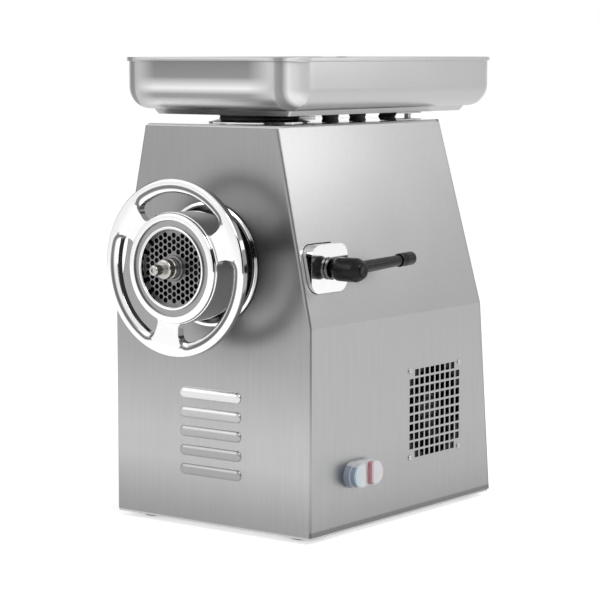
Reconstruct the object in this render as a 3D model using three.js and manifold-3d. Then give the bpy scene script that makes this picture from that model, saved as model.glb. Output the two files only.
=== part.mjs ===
import * as THREE from 'three';
import { mergeVertices } from 'three/addons/utils/BufferGeometryUtils.js';
import Module from 'manifold-3d';

const wasm = await Module();
wasm.setup();

// Everything is in millimetres. While the pieces are made, x = 0 is the middle of the cabinet,
// y = 0 its front face and z = 0 its lower edge. The whole group is shifted once at the end.

// Fits shared by all pieces
const touchGap = 0.3;
const slideGap = 0.3;
const overrun = 2;
const weldTolerance = 0.0001;

// Facets round a full turn
const bigRound = 36;
const midRound = 24;
const smallRound = 16;
const halfSteps = 12;
const cornerSteps = 3;
const tinyRound = 8;
const cornerFacets = 4;
const slotFacets = 6;

// Cabinet
const cabinetWidth = 294;
const cabinetDepth = 374.6;
const cabinetHeight = 469.6;
const foldHeight = 242;
const sideSetback = 48.7;
const rearSetback = 47.5;
const sheet = 1.5;
const cabinetCorner = 4.1;
const cabinetEdge = 2.6;
const returnWidth = 15;
const basePlateThickness = 2.5;
const basePlateInset = 1.5;

// Feet
const footHeight = 6;
const footRadius = 19.6;
const footSoleRadius = 16.5;
const footInset = 35.1;

// Louvres pressed into the front
const louvreCount = 5;
const louvrePitch = 22.7;
const louvreTopCentre = 154.3;
const louvreLength = 91.8;
const louvreHeight = 13.4;
const louvreProud = 4.6;
const louvreFacets = 8;
const louvreEndFacets = 2;

// Vent grille and cooling fan on the right side
const ventSetback = 124.3;
const ventCentreY = cabinetDepth - ventSetback;
const ventCentreZ = 120.4;
const ventPitch = 11;
const ventRows = 10;
const ventHoleSize = 8.3;
const rivetSpacing = 105;
const rivetShankRadius = 2.1;
const rivetHeadRadius = 3.3;
const rivetHeadHeight = 1.6;
const rivetShoulderRadius = 2.7;
const rivetShoulderHeight = 1.1;
const rivetCrownRadius = 1.1;
const fanSize = 119;
const fanDepth = 25;
const fanCorner = 6;
const fanBoreRadius = 56;
const fanHubRadius = 19;
const fanBladeCount = 7;
const fanBladeReach = 53;
const fanBladeThickness = 1.6;
const fanBladeDepth = 15;
const fanBladeAngle = 50;
const fanStrutWidth = 7;
const fanStrutDepth = 3;
const fanSpindleRadius = 4;

// Rear cover, its screws and the cable gland
const coverScrewRadius = 2;
const coverScrewHeadRadius = 4;
const coverScrewHeadHeight = 2.2;
const coverScrewLength = 8;
const coverScrewSpread = 150;
const coverScrewDrop = 8;
const glandX = -85;
const glandZ = 48;
const glandBodyRadius = 8;
const glandBoreRadius = 4.5;
const glandNutRadius = 12;
const glandNutHeight = 6;
const glandDomeHeight = 12;
const glandInside = 10;

// Grinding head: axis height and stations along the axis, which runs from front to back
const headAxisShare = 0.6563;
const headAxisZ = cabinetHeight * headAxisShare;
const barrelRadius = 62.6;
const barrelWall = 13.1;
const barrelBoreRadius = barrelRadius - barrelWall;
const barrelFrontY = -57.8;
const barrelRearY = 154.8;
const barrelBackWall = 12.4;
const threadStep = 5.4;
const threadRadius = barrelRadius - threadStep;
const threadEndY = -23.7;
const plateSeatDepth = 4.7;
const plateSeatStep = 0.8;
const plateSeatRadius = barrelBoreRadius + plateSeatStep;
const portRadius = 39.2;
const portCentreY = 93.9;
const housingWall = 9.6;
const housingRadius = barrelRadius + housingWall;
const housingNoseWall = 5;
const housingNoseRadius = barrelRadius + housingNoseWall;
const housingFlangeReach = 14.5;
const housingFlangeRadius = housingRadius + housingFlangeReach;
const housingFlangeThickness = 8.3;
const portBossRadius = 48.5;
const portBossRise = 6.2;
const portBossHeight = housingRadius + portBossRise;
const trimWidth = 10.5;
const trimRadius = barrelRadius + trimWidth;
const trimThickness = 4.1;
const trimEdge = 1.2;

// Cutting plate
const plateRadius = plateSeatRadius - touchGap;
const plateThickness = 10.3;
const plateHolePitch = 7.5;
const plateHoleRadius = 3.1;
const plateMargin = 7.8;
const plateFieldRadius = plateRadius - plateMargin;
const plateEndMargin = 9.5;
const plateFieldHeight = plateRadius - plateEndMargin;
const plateHoleSides = 6;
const plateHubRadius = 14.8;
const plateHubProud = 3.1;

// Knife
const knifeBlades = 4;
const knifeThickness = 12.4;
const knifeBoreGap = 1;
const knifeRadius = barrelBoreRadius - knifeBoreGap;
const knifeHubRadius = 17.5;
const knifeTipWidth = 15.5;
const knifeSweep = 6.2;

// Auger and its stud
const augerBoreGap = 0.6;
const augerFlightRadius = barrelBoreRadius - augerBoreGap;
const augerCoreFront = 19.6;
const augerCoreRear = 24.8;
const augerPitch = 43.3;
const flightRootWidth = 8.3;
const flightTipWidth = 5.2;
const flightFacets = 12;
const flightBury = 3.1;
const augerJournalRadius = 20.6;
const tangWidth = 24.8;
const tangLength = 33;
const studJournalRadius = 11.5;
const studSquare = 15.9;
const studRootRadius = 7.6;
const studRootLength = 22.7;
const studTipRadius = 6.1;
const studFrontY = -100.1;
const studShoulderY = -83.6;
const studTipRound = 3.1;
const studChamfer = 1;
const bushRadius = 25.8;

// Ring nut
const nutReach = 44.9;
const nutRadius = threadRadius + nutReach;
const nutRimWidth = 11;
const nutRimInner = nutRadius - nutRimWidth;
const nutRimFrontY = -65.8;
const nutRimThickness = 11.4;
const nutWebSetback = 1.24;
const nutWebThickness = 9.3;
const nutSkirtWall = 6.2;
const nutHubRadius = threadRadius + nutSkirtWall;
const nutHubFrontY = -70;
const nutLipReach = 12.8;
const nutLipRadius = threadRadius - nutLipReach;
const nutLipWidth = 3.3;
const nutGrooveInner = nutLipRadius + nutLipWidth;
const nutGrooveWidth = 7.2;
const nutGrooveOuter = nutGrooveInner + nutGrooveWidth;
const nutGrooveDepth = 2.27;
const nutSkirtEndY = -24.3;
const nutEdge = 3.1;
const nutSmallEdge = 1.2;
const spokeCount = 3;
const firstSpokeAngle = 22.5;
const spokeWidth = 33;
const slotHubGap = 1.2;
const slotRimGap = 5;
const slotCorner = 8.5;

// Clamp on the right side
const clampY = 42.5;
const clampBlockWidth = 68.1;
const clampBlockHeight = 55.2;
const clampBlockFace = 142.4;
const clampBlockCorner = 14.4;
const clampWindowGap = 0.72;
const clampScrewRadius = 7.2;
const clampCollarRadius = 13;
const clampCollarThickness = 4.1;
const clampCollarEdge = 1.2;
const clampPadThickness = 4.6;
const hubStart = 147.5;
const hubEnd = 189.5;
const hubNeckRadius = 9.8;
const hubRadius = 13.8;
const hubFaceRadius = 9.3;
const hubShoulderLength = 7.2;
const hubTaperLength = 9.3;
const hubFaceWall = 1.2;
const hubPlugProud = 1.14;
const hubPlugDepth = 3.1;
const leverArmX = 169.2;
const leverArmLift = 2;
const leverArmRootRadius = 7.4;
const leverArmTipRadius = 6.3;
const leverReach = 125.4;
const leverCapRadius = 7.9;
const leverCapLength = 27.9;
const leverCapRound = 3.1;
const leverCapOverlap = 18.6;
const leverSpigotRadius = 4.6;

// Twin push button on the right side
const buttonY = 91.8;
const buttonZ = 65.4;
const buttonPlateLength = 59.2;
const buttonPlateHeight = 31.7;
const bezelThickness = 6.5;
const buttonValley = 13;
const buttonCorner = 4.5;
const buttonProud = 13.6;
const buttonPocketFloor = 1.2;
const buttonTravel = 2.6;
const buttonSleeveRadius = 11.4;
const buttonSleeveReach = 12.4;
const contactBlockLength = 41.3;
const contactBlockHeight = 28.9;
const contactBlockDepth = 22.7;
const bootThickness = 1.1;
const bootProud = 17.1;
const bootMargin = 1.3;
const bootSkirt = 2.2;
const bootEdge = 2.48;

// Feed duct, seal and tray supports on top
const ductRadius = 43;
const ductBoreRadius = 41.2;
const ductHoleGap = 1.65;
const collarRadius = 60.4;
const collarInnerRadius = 48.5;
const collarRise = 4.1;
const collarLip = 1.44;
const sealRadius = 47.5;
const bufferRadius = 10.1;
const bufferX = 71.2;
const bufferFrontY = 138.3;
const bufferRearY = 193;
const bufferEdge = 1.03;
const bracketX = 81.5;
const bracketWidth = 24.8;
const bracketFrontY = 238.4;
const bracketLength = 56.8;
const bracketSheet = 1.5;
const bracketStudY = 283.8;
const bracketStudRadius = 4.1;

// Tray
const trayHalfWidth = 132.4;
const trayFrontY = -11.4;
const trayRearY = 410.7;
const trayRise = 10.3;
const trayBottomZ = cabinetHeight + trayRise;
const trayDepth = 66.8;
const trayTopZ = trayBottomZ + trayDepth;
const trayCorner = 37.2;
const trayBottomRadius = 25.8;
const traySheet = 1.5;
const trayStep = 6.2;
const trayStepRun = 6.2;
const trayStepShelf = 3.1;
const trayRimHeight = 4.7;
const trayRimProud = 2.68;
const trayRimRound = 1.24;
const trayMinimumCorner = 3;
const throatRadius = 40.8;
const throatBoreRadius = 39.2;
const throatLength = 36.1;

// Gear train
const motorTeeth = 15;
const wheelTeeth = 47;
const fastModuleShare = 0.00811;
const fastModule = headAxisZ * fastModuleShare;
const pinionTeeth = 15;
const outputTeeth = 40;
const slowModuleShare = 0.01298;
const slowModule = headAxisZ * slowModuleShare;
const fastGearWidth = 14.4;
const slowGearWidth = 22.7;
const pinionExtraWidth = 4.1;
const gearClearance = 4.1;
const gearWall = 7.2;
const gearboxFrontY = 163.1;
const gearboxFrontWall = 8.3;
const gearboxDepth = 64;
const gearboxCoverThickness = 10.3;
const fastGearStart = 18.6;
const slowGearStart = 35.1;
const outputShaftRadius = 24.8;
const outputShaftTail = 20.6;
const outputBearingRadius = 41.3;
const rearBearingRadius = 37.2;
const oilSealThickness = 3.8;
const outputBearingWidth = 13;
const outputSocketDepth = 35.1;
const intermediateAxleRadius = 9.3;
const intermediateHubRadius = 14.4;
const pedestalHalfWidth = 47.5;
const pedestalFlange = 5.2;
const pedestalLeg = 8.3;
const pedestalLength = 55.7;

// Motor
const motorRadius = 72.2;
const motorShellWall = 3.6;
const motorFrontY = 37.2;
const motorEndWall = 8.3;
const motorFlangeRadius = 80.5;
const motorFlangeThickness = 6.2;
const statorBoreRadius = 44;
const statorStart = 24.8;
const statorLength = 82.6;
const rotorRadius = 43.3;
const motorShaftRadius = 11.4;
const motorBearingRadius = 20.6;
const motorBearingWidth = 9.7;

// Control box on the left wall
const controlFrontY = 61.9;
const controlLength = 113.5;
const controlBottomZ = 61.9;
const controlHeight = 144.5;
const controlDepth = 47.5;
const controlWall = 2.58;
const controlCorner = 6.2;

// Places and sizes that follow from the ones above
const halfWidth = cabinetWidth / 2;
const casingBottomZ = basePlateThickness + touchGap;
const sideSlope = sideSetback / (cabinetHeight - foldHeight);
const slantSheet = sheet * Math.hypot(1, sideSlope);
const rearSlope = rearSetback / cabinetHeight;
const rearLean = Math.atan(rearSlope);
const plateFrontY = barrelFrontY + plateSeatDepth - plateThickness;
const knifeFrontY = plateFrontY + plateThickness + touchGap;
const augerFrontY = knifeFrontY + knifeThickness + touchGap;
const barrelBackWallY = barrelRearY - barrelBackWall;
const stageOneCentres = fastModule * (motorTeeth + wheelTeeth) / 2;
const stageTwoCentres = slowModule * (pinionTeeth + outputTeeth) / 2;
const intermediateZ = headAxisZ - stageTwoCentres;
const motorZ = intermediateZ - stageOneCentres;
const gearboxCoverY = gearboxFrontY + gearboxDepth + touchGap;
const traySupportHeight = trayBottomZ - cabinetHeight - 2 * touchGap;

// Finishes
function finish(color, roughness, metalness) {
  return () => new THREE.MeshStandardMaterial({ color, roughness, metalness });
}
const brushedSteel = finish(0xb9babb, 0.38, 1);
const polishedSteel = finish(0xd9dadb, 0.12, 1);
const traySteel = finish(0xc6c7c7, 0.26, 1);
const plainSteel = finish(0x9a9c9e, 0.4, 1);
const castMetal = finish(0x8b8e90, 0.6, 0.6);
const motorPaint = finish(0x5b6066, 0.6, 0.3);
const copperColour = finish(0x9a6a4a, 0.5, 0.8);
const bronze = finish(0xa8834a, 0.4, 1);
const blackPlastic = finish(0x1b1c1e, 0.5, 0);
const greyPlastic = finish(0x5c5e60, 0.5, 0);
const blackRubber = finish(0x141414, 0.8, 0);
const clearSilicone = () => new THREE.MeshStandardMaterial({
  color: 0xdfe8ec, roughness: 0.15, metalness: 0, transparent: true, opacity: 0.4,
});
const bluePlastic = finish(0x3f5a86, 0.4, 0);
const redPlastic = finish(0xa03a46, 0.4, 0);

// Solids from three.js geometry
function toSolid(geometry) {
  const bare = geometry.clone();
  bare.deleteAttribute('normal');
  bare.deleteAttribute('uv');
  const merged = mergeVertices(bare, weldTolerance);
  const vertProperties = Float32Array.from(merged.attributes.position.array);
  const index = merged.index.array;
  const kept = [];
  for (let i = 0; i < index.length; i += 3) {
    const [a, b, c] = [index[i], index[i + 1], index[i + 2]];
    if (a !== b && b !== c && c !== a) {
      kept.push(a, b, c);
    }
  }
  const triVerts = Uint32Array.from(kept);
  if (signedVolume(vertProperties, triVerts) < 0) {
    for (let i = 0; i < triVerts.length; i += 3) {
      const first = triVerts[i];
      triVerts[i] = triVerts[i + 1];
      triVerts[i + 1] = first;
    }
  }
  return new wasm.Manifold(new wasm.Mesh({ numProp: 3, vertProperties, triVerts }));
}

function signedVolume(positions, triangles) {
  const corner = (i) => new THREE.Vector3().fromArray(positions, 3 * triangles[i]);
  let sum = 0;
  for (let i = 0; i < triangles.length; i += 3) {
    sum += corner(i).dot(corner(i + 1).cross(corner(i + 2)));
  }
  return sum / 6;
}

function toGeometry(solid) {
  const mesh = solid.getMesh();
  const geometry = new THREE.BufferGeometry();
  geometry.setAttribute('position', new THREE.BufferAttribute(Float32Array.from(mesh.vertProperties), 3));
  geometry.setIndex(new THREE.BufferAttribute(Uint32Array.from(mesh.triVerts), 1));
  return geometry;
}

const assembly = new THREE.Group();

function addPiece(name, solid, makeMaterial) {
  const mesh = new THREE.Mesh(toGeometry(solid), makeMaterial());
  mesh.name = name;
  assembly.add(mesh);
}

// Turns a geometry whose length runs along Y so that it runs along X or Z
function alongX(geometry) {
  return geometry.rotateZ(-Math.PI / 2);
}
function alongZ(geometry) {
  return geometry.rotateX(Math.PI / 2);
}

function block(x0, x1, y0, y1, z0, z1) {
  const geometry = new THREE.BoxGeometry(x1 - x0, y1 - y0, z1 - z0);
  return toSolid(geometry.translate((x0 + x1) / 2, (y0 + y1) / 2, (z0 + z1) / 2));
}
function rodX(radius, x0, x1, y, z, facets = midRound) {
  const geometry = alongX(new THREE.CylinderGeometry(radius, radius, x1 - x0, facets));
  return toSolid(geometry.translate((x0 + x1) / 2, y, z));
}
function rodY(radius, y0, y1, x, z, facets = midRound) {
  const geometry = new THREE.CylinderGeometry(radius, radius, y1 - y0, facets);
  return toSolid(geometry.translate(x, (y0 + y1) / 2, z));
}
function rodZ(radius, z0, z1, x, y, facets = midRound) {
  const geometry = alongZ(new THREE.CylinderGeometry(radius, radius, z1 - z0, facets));
  return toSolid(geometry.translate(x, y, (z0 + z1) / 2));
}

// Turned pieces: the profile lists [radius, place along the axis] and closes on itself or on the axis
function turned(profile, facets) {
  return new THREE.LatheGeometry(profile.map(([r, along]) => new THREE.Vector2(r, along)), facets);
}
function turnedX(profile, y, z, facets = midRound) {
  return toSolid(alongX(turned(profile, facets)).translate(0, y, z));
}
function turnedY(profile, x, z, facets = midRound) {
  return toSolid(turned(profile, facets).translate(x, 0, z));
}
function turnedZ(profile, x, y, facets = midRound) {
  return toSolid(alongZ(turned(profile, facets)).translate(x, y, 0));
}
function ring(inner, outer, start, end) {
  return [[inner, start], [outer, start], [outer, end], [inner, end], [inner, start]];
}

// Extruded pieces: the outline lies in the plane across the stated axis
function extruded(shape, length, facets = cornerFacets) {
  return new THREE.ExtrudeGeometry(shape, { depth: length, bevelEnabled: false, curveSegments: facets });
}
function extrudedX(shape, x0, x1) {
  const turn = new THREE.Matrix4().makeBasis(
    new THREE.Vector3(0, 1, 0), new THREE.Vector3(0, 0, 1), new THREE.Vector3(1, 0, 0));
  return toSolid(extruded(shape, x1 - x0).applyMatrix4(turn).translate(x0, 0, 0));
}
function extrudedY(shape, y0, y1, facets = cornerFacets) {
  return toSolid(extruded(shape, y1 - y0, facets).rotateX(Math.PI / 2).translate(0, y1, 0));
}
function extrudedZ(shape, z0, z1) {
  return toSolid(extruded(shape, z1 - z0).translate(0, 0, z0));
}
function polygon(points) {
  return new THREE.Shape(points.map(([u, v]) => new THREE.Vector2(u, v)));
}
function roundedRect(centreU, centreV, width, height, corner) {
  const shape = new THREE.Shape();
  const right = centreU + width / 2 - corner;
  const left = centreU - width / 2 + corner;
  const top = centreV + height / 2 - corner;
  const bottom = centreV - height / 2 + corner;
  shape.absarc(right, bottom, corner, -Math.PI / 2, 0);
  shape.absarc(right, top, corner, 0, Math.PI / 2);
  shape.absarc(left, top, corner, Math.PI / 2, Math.PI);
  shape.absarc(left, bottom, corner, Math.PI, 1.5 * Math.PI);
  shape.closePath();
  return shape;
}
function joined(solids) {
  return solids.reduce((sum, solid) => sum.add(solid));
}

// A closed skin through a stack of rings with equal point counts, capped at both ends
function loft(rings) {
  const count = rings[0].length;
  const positions = rings.flat().flatMap((p) => [p.x, p.y, p.z]);
  const index = [];
  for (let level = 0; level + 1 < rings.length; level += 1) {
    for (let i = 0; i < count; i += 1) {
      const a = level * count + i;
      const b = level * count + (i + 1) % count;
      index.push(a, b, b + count, a, b + count, a + count);
    }
  }
  const last = (rings.length - 1) * count;
  for (let i = 1; i + 1 < count; i += 1) {
    index.push(0, i + 1, i, last, last + i, last + i + 1);
  }
  const geometry = new THREE.BufferGeometry();
  geometry.setAttribute('position', new THREE.Float32BufferAttribute(positions, 3));
  geometry.setIndex(index);
  return toSolid(geometry);
}

// Cabinet sections
function halfWidthAt(z) {
  return halfWidth - sideSlope * Math.max(0, z - foldHeight);
}
function rearAt(z) {
  return cabinetDepth - rearSlope * z;
}
function cabinetRing(z, inset, frontY, rearY, corner) {
  const reach = halfWidthAt(z) - inset;
  const points = [new THREE.Vector3(reach, rearY, z)];
  for (let i = 0; i <= cornerFacets; i += 1) {
    const turn = -Math.PI / 2 * i / cornerFacets;
    const x = reach - corner + corner * Math.cos(turn);
    points.push(new THREE.Vector3(x, frontY + corner + corner * Math.sin(turn), z));
  }
  for (let i = 0; i <= cornerFacets; i += 1) {
    const turn = -Math.PI / 2 - Math.PI / 2 * i / cornerFacets;
    const x = -reach + corner + corner * Math.cos(turn);
    points.push(new THREE.Vector3(x, frontY + corner + corner * Math.sin(turn), z));
  }
  points.push(new THREE.Vector3(-reach, rearY, z));
  return points.reverse();
}
function cabinetBody() {
  const coverSide = (z) => rearAt(z) - sheet - touchGap;
  const level = (z, inset) => cabinetRing(z, inset, inset, coverSide(z) - inset, cabinetCorner);
  return loft([
    level(casingBottomZ, 0),
    level(foldHeight, 0),
    level(cabinetHeight - cabinetEdge, 0),
    level(cabinetHeight, cabinetEdge),
  ]);
}
function cabinetCavity() {
  const returnSide = (z) => rearAt(z) - 2 * sheet - touchGap;
  const corner = cabinetCorner - sheet;
  const level = (z) => cabinetRing(z, slantSheet, sheet, returnSide(z), corner);
  return loft([level(casingBottomZ + sheet), level(foldHeight), level(cabinetHeight - sheet)]);
}
function rearOpening() {
  const front = (z) => rearAt(z) - returnWidth;
  const level = (z) => cabinetRing(z, returnWidth, front(z), cabinetDepth + overrun, cabinetCorner);
  return loft([level(casingBottomZ + returnWidth), level(foldHeight), level(cabinetHeight - returnWidth)]);
}
function bottomOpening() {
  const rearY = rearAt(0) - 2 * returnWidth;
  const level = (z) => cabinetRing(z, returnWidth, returnWidth, rearY, cabinetCorner);
  return loft([level(-overrun), level(casingBottomZ + returnWidth)]);
}

// Louvre: a long half capsule pressed forward, open along its lower side
function capsule(radius, length, squash) {
  const geometry = new THREE.CapsuleGeometry(radius, length - 2 * radius, louvreEndFacets, louvreFacets);
  return toSolid(alongX(geometry).scale(1, squash, 1));
}
function louvreCentres() {
  return Array.from({ length: louvreCount }, (_, i) => louvreTopCentre - i * louvrePitch);
}
const louvreRadius = louvreHeight / 2;
const louvreSquash = louvreProud / louvreRadius;
function louvreHood(z) {
  const outer = capsule(louvreRadius, louvreLength, louvreSquash);
  const open = block(-louvreLength, louvreLength, -louvreLength, 0, -louvreHeight, -louvreRadius / 2);
  const behind = block(-louvreLength, louvreLength, sheet, louvreLength, -louvreHeight, louvreHeight);
  return outer.subtract(open).subtract(behind).translate([0, 0, z]);
}
function louvreHollow(z) {
  const inner = capsule(louvreRadius - sheet, louvreLength - 2 * sheet, louvreSquash);
  return inner.translate([0, 0, z]);
}

// Clamp block outline, shared by the block and its window in the casing
function clampOutline(growth) {
  const width = clampBlockWidth + 2 * growth;
  const height = clampBlockHeight + 2 * growth;
  return roundedRect(clampY, headAxisZ, width, height, clampBlockCorner + growth);
}

function ventPlaces() {
  const places = [];
  for (let row = 0; row < ventRows; row += 1) {
    for (let column = 0; column < ventRows; column += 1) {
      const atEnd = (n) => n === 0 || n === ventRows - 1;
      if (!(atEnd(row) && atEnd(column))) {
        const middle = (ventRows - 1) / 2;
        const across = (column - middle) * ventPitch;
        const up = (row - middle) * ventPitch;
        places.push([ventCentreY + across, ventCentreZ + up]);
      }
    }
  }
  return places;
}
function rivetPlaces() {
  const offsets = [-rivetSpacing / 2, rivetSpacing / 2];
  return offsets.flatMap((dy) => offsets.map((dz) => [ventCentreY + dy, ventCentreZ + dz]));
}
function coverScrewPlaces() {
  return [-coverScrewSpread / 2, coverScrewSpread / 2];
}
// Moves a solid made along +Y at the origin onto the leaning rear face at (x, z)
function onRear(solid, x, z) {
  return solid.rotate([THREE.MathUtils.radToDeg(rearLean), 0, 0]).translate([x, rearAt(z), z]);
}

function makeCasing() {
  let casing = cabinetBody().subtract(cabinetCavity()).subtract(rearOpening()).subtract(bottomOpening());
  casing = casing.add(joined(louvreCentres().map(louvreHood)));
  casing = casing.subtract(joined(louvreCentres().map(louvreHollow)));
  const wallX0 = halfWidth - sheet - overrun;
  const wallX1 = halfWidth + overrun;
  const ventHalf = ventHoleSize / 2;
  for (const [y, z] of ventPlaces()) {
    casing = casing.subtract(block(wallX0, wallX1, y - ventHalf, y + ventHalf, z - ventHalf, z + ventHalf));
  }
  for (const [y, z] of rivetPlaces()) {
    casing = casing.subtract(rodX(rivetShankRadius + touchGap, wallX0, wallX1, y, z, tinyRound));
  }
  const noseHole = housingNoseRadius + touchGap;
  casing = casing.subtract(rodY(noseHole, -overrun, sheet + overrun, 0, headAxisZ, bigRound));
  casing = casing.subtract(extrudedX(clampOutline(clampWindowGap), halfWidth / 2, halfWidth));
  const sleeveHole = buttonSleeveRadius + touchGap;
  casing = casing.subtract(rodX(sleeveHole, wallX0, wallX1, buttonY, buttonZ, smallRound));
  const ductHoleTop = cabinetHeight + overrun;
  const ductHoleFoot = cabinetHeight - sheet - overrun;
  casing = casing.subtract(rodZ(ductRadius + ductHoleGap, ductHoleFoot, ductHoleTop, 0, portCentreY));
  const coverScrewHole = rodY(coverScrewRadius + touchGap, -coverScrewLength, overrun, 0, 0, tinyRound);
  for (const x of coverScrewPlaces()) {
    casing = casing.subtract(onRear(coverScrewHole, x, cabinetHeight - coverScrewDrop));
  }
  return casing;
}

function makeRearCover() {
  const level = (z) => {
    const reach = halfWidthAt(z);
    const rear = rearAt(z);
    return [
      new THREE.Vector3(-reach, rear - sheet, z),
      new THREE.Vector3(reach, rear - sheet, z),
      new THREE.Vector3(reach, rear, z),
      new THREE.Vector3(-reach, rear, z),
    ];
  };
  let cover = loft([level(casingBottomZ), level(foldHeight), level(cabinetHeight)]);
  const screwHole = rodY(coverScrewRadius + touchGap, -coverScrewLength, overrun, 0, 0, tinyRound);
  for (const x of coverScrewPlaces()) {
    cover = cover.subtract(onRear(screwHole, x, cabinetHeight - coverScrewDrop));
  }
  const glandHole = rodY(glandBodyRadius + touchGap, -glandInside, overrun, 0, 0, smallRound);
  return cover.subtract(onRear(glandHole, glandX, glandZ));
}

function makeCoverScrew(x) {
  const screw = turnedY([
    [0, -coverScrewLength],
    [coverScrewRadius, -coverScrewLength],
    [coverScrewRadius, touchGap],
    [coverScrewHeadRadius, touchGap],
    [coverScrewHeadRadius, coverScrewHeadHeight / 2],
    [coverScrewHeadRadius / 2, coverScrewHeadHeight],
    [0, coverScrewHeadHeight],
  ], 0, 0, tinyRound);
  return onRear(screw, x, cabinetHeight - coverScrewDrop);
}

function makeCableGland() {
  const gland = turnedY([
    [glandBoreRadius, -glandInside],
    [glandBodyRadius, -glandInside],
    [glandBodyRadius, touchGap],
    [glandNutRadius, touchGap],
    [glandNutRadius, glandNutHeight],
    [glandBodyRadius, glandNutHeight],
    [glandBodyRadius, glandDomeHeight - glandBodyRadius + glandBoreRadius],
    [glandBoreRadius, glandDomeHeight],
    [glandBoreRadius, -glandInside],
  ], 0, 0, tinyRound);
  return onRear(gland, glandX, glandZ);
}

function makeBasePlate() {
  const reach = halfWidth - basePlateInset;
  const rear = rearAt(0) - basePlateInset;
  const shape = polygon([[-reach, basePlateInset], [reach, basePlateInset], [reach, rear], [-reach, rear]]);
  return extrudedZ(shape, 0, basePlateThickness);
}

function makeFoot(x, y) {
  return turnedZ([
    [0, -footHeight],
    [footSoleRadius, -footHeight],
    [footRadius, -footHeight / 2],
    [footRadius, -touchGap],
    [0, -touchGap],
  ], x, y, smallRound);
}

function makeRivet(y, z) {
  const face = halfWidth + touchGap;
  return turnedX([
    [0, halfWidth - sheet - touchGap - fanDepth],
    [rivetShankRadius, halfWidth - sheet - touchGap - fanDepth],
    [rivetShankRadius, face],
    [rivetHeadRadius, face],
    [rivetShoulderRadius, face + rivetShoulderHeight],
    [rivetCrownRadius, face + rivetHeadHeight],
    [0, face + rivetHeadHeight],
  ], y, z, tinyRound);
}

// Cooling fan behind the grille
const fanFaceX = halfWidth - sheet - touchGap;
const fanInnerX = fanFaceX - fanDepth;
function makeFanFrame() {
  const shape = roundedRect(ventCentreY, ventCentreZ, fanSize, fanSize, fanCorner);
  let frame = extrudedX(shape, fanInnerX, fanFaceX);
  const bore = rodX(fanBoreRadius, fanInnerX - overrun, fanFaceX + overrun, ventCentreY, ventCentreZ);
  frame = frame.subtract(bore);
  const strutEnd = fanInnerX + fanStrutDepth;
  const reach = fanBoreRadius + overrun;
  const struts = block(fanInnerX, strutEnd, -reach, reach, -fanStrutWidth / 2, fanStrutWidth / 2)
    .add(block(fanInnerX, strutEnd, -fanStrutWidth / 2, fanStrutWidth / 2, -reach, reach))
    .translate([0, ventCentreY, ventCentreZ]);
  frame = frame.add(struts).add(rodX(fanHubRadius, fanInnerX, strutEnd, ventCentreY, ventCentreZ));
  const spindleEnd = strutEnd + fanBladeDepth / 2;
  frame = frame.add(rodX(fanSpindleRadius, fanInnerX, spindleEnd, ventCentreY, ventCentreZ, tinyRound));
  for (const [y, z] of rivetPlaces()) {
    const hole = rodX(rivetShankRadius + touchGap, fanInnerX - overrun, fanFaceX + overrun, y, z, tinyRound);
    frame = frame.subtract(hole);
  }
  return frame;
}
function makeFanRotor() {
  const start = fanInnerX + fanStrutDepth + touchGap;
  const end = start + fanBladeDepth;
  let rotor = rodX(fanHubRadius, start, end, 0, 0, smallRound);
  const blade = block(
    -fanBladeThickness / 2, fanBladeThickness / 2,
    -fanBladeDepth / 2, fanBladeDepth / 2,
    fanHubRadius - overrun, fanBladeReach).rotate([0, 0, fanBladeAngle]);
  for (let i = 0; i < fanBladeCount; i += 1) {
    rotor = rotor.add(blade.translate([(start + end) / 2, 0, 0]).rotate([360 * i / fanBladeCount, 0, 0]));
  }
  const bore = rodX(fanSpindleRadius + touchGap, start - overrun, start + fanBladeDepth / 2, 0, 0, tinyRound);
  rotor = rotor.subtract(bore);
  return rotor.translate([0, ventCentreY, ventCentreZ]);
}

// Grinding head
function makeTrimRing() {
  const back = -touchGap;
  const front = back - trimThickness;
  const bore = barrelRadius + slideGap;
  const step = (trimRadius + bore) / 2;
  return turnedY([
    [bore, back],
    [trimRadius, back],
    [trimRadius, front + trimThickness / 2],
    [trimRadius - trimEdge, front + trimThickness / 4],
    [step, front + trimThickness / 4],
    [step - trimEdge, front],
    [bore, front],
    [bore, back],
  ], 0, headAxisZ, bigRound);
}

function makeHeadHousing() {
  const bore = barrelRadius + slideGap;
  const body = sheet + touchGap;
  const flange = gearboxFrontY - touchGap - housingFlangeThickness;
  let housing = turnedY([
    [bore, 0],
    [housingNoseRadius, 0],
    [housingNoseRadius, body],
    [housingRadius, body],
    [housingRadius, flange],
    [housingFlangeRadius, flange],
    [housingFlangeRadius, gearboxFrontY - touchGap],
    [bore, gearboxFrontY - touchGap],
    [bore, 0],
  ], 0, headAxisZ, bigRound);
  const barrelSpace = rodY(bore, -overrun, gearboxFrontY, 0, headAxisZ, bigRound);
  const boss = rodZ(portBossRadius, headAxisZ, headAxisZ + portBossHeight, 0, portCentreY);
  housing = housing.add(boss.subtract(barrelSpace));
  const portHole = rodZ(portRadius + touchGap, headAxisZ, headAxisZ + portBossHeight + overrun, 0, portCentreY);
  housing = housing.subtract(portHole);
  const padHole = clampScrewRadius + touchGap;
  return housing.subtract(rodX(padHole, 0, housingRadius + overrun, clampY, headAxisZ, smallRound));
}

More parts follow.
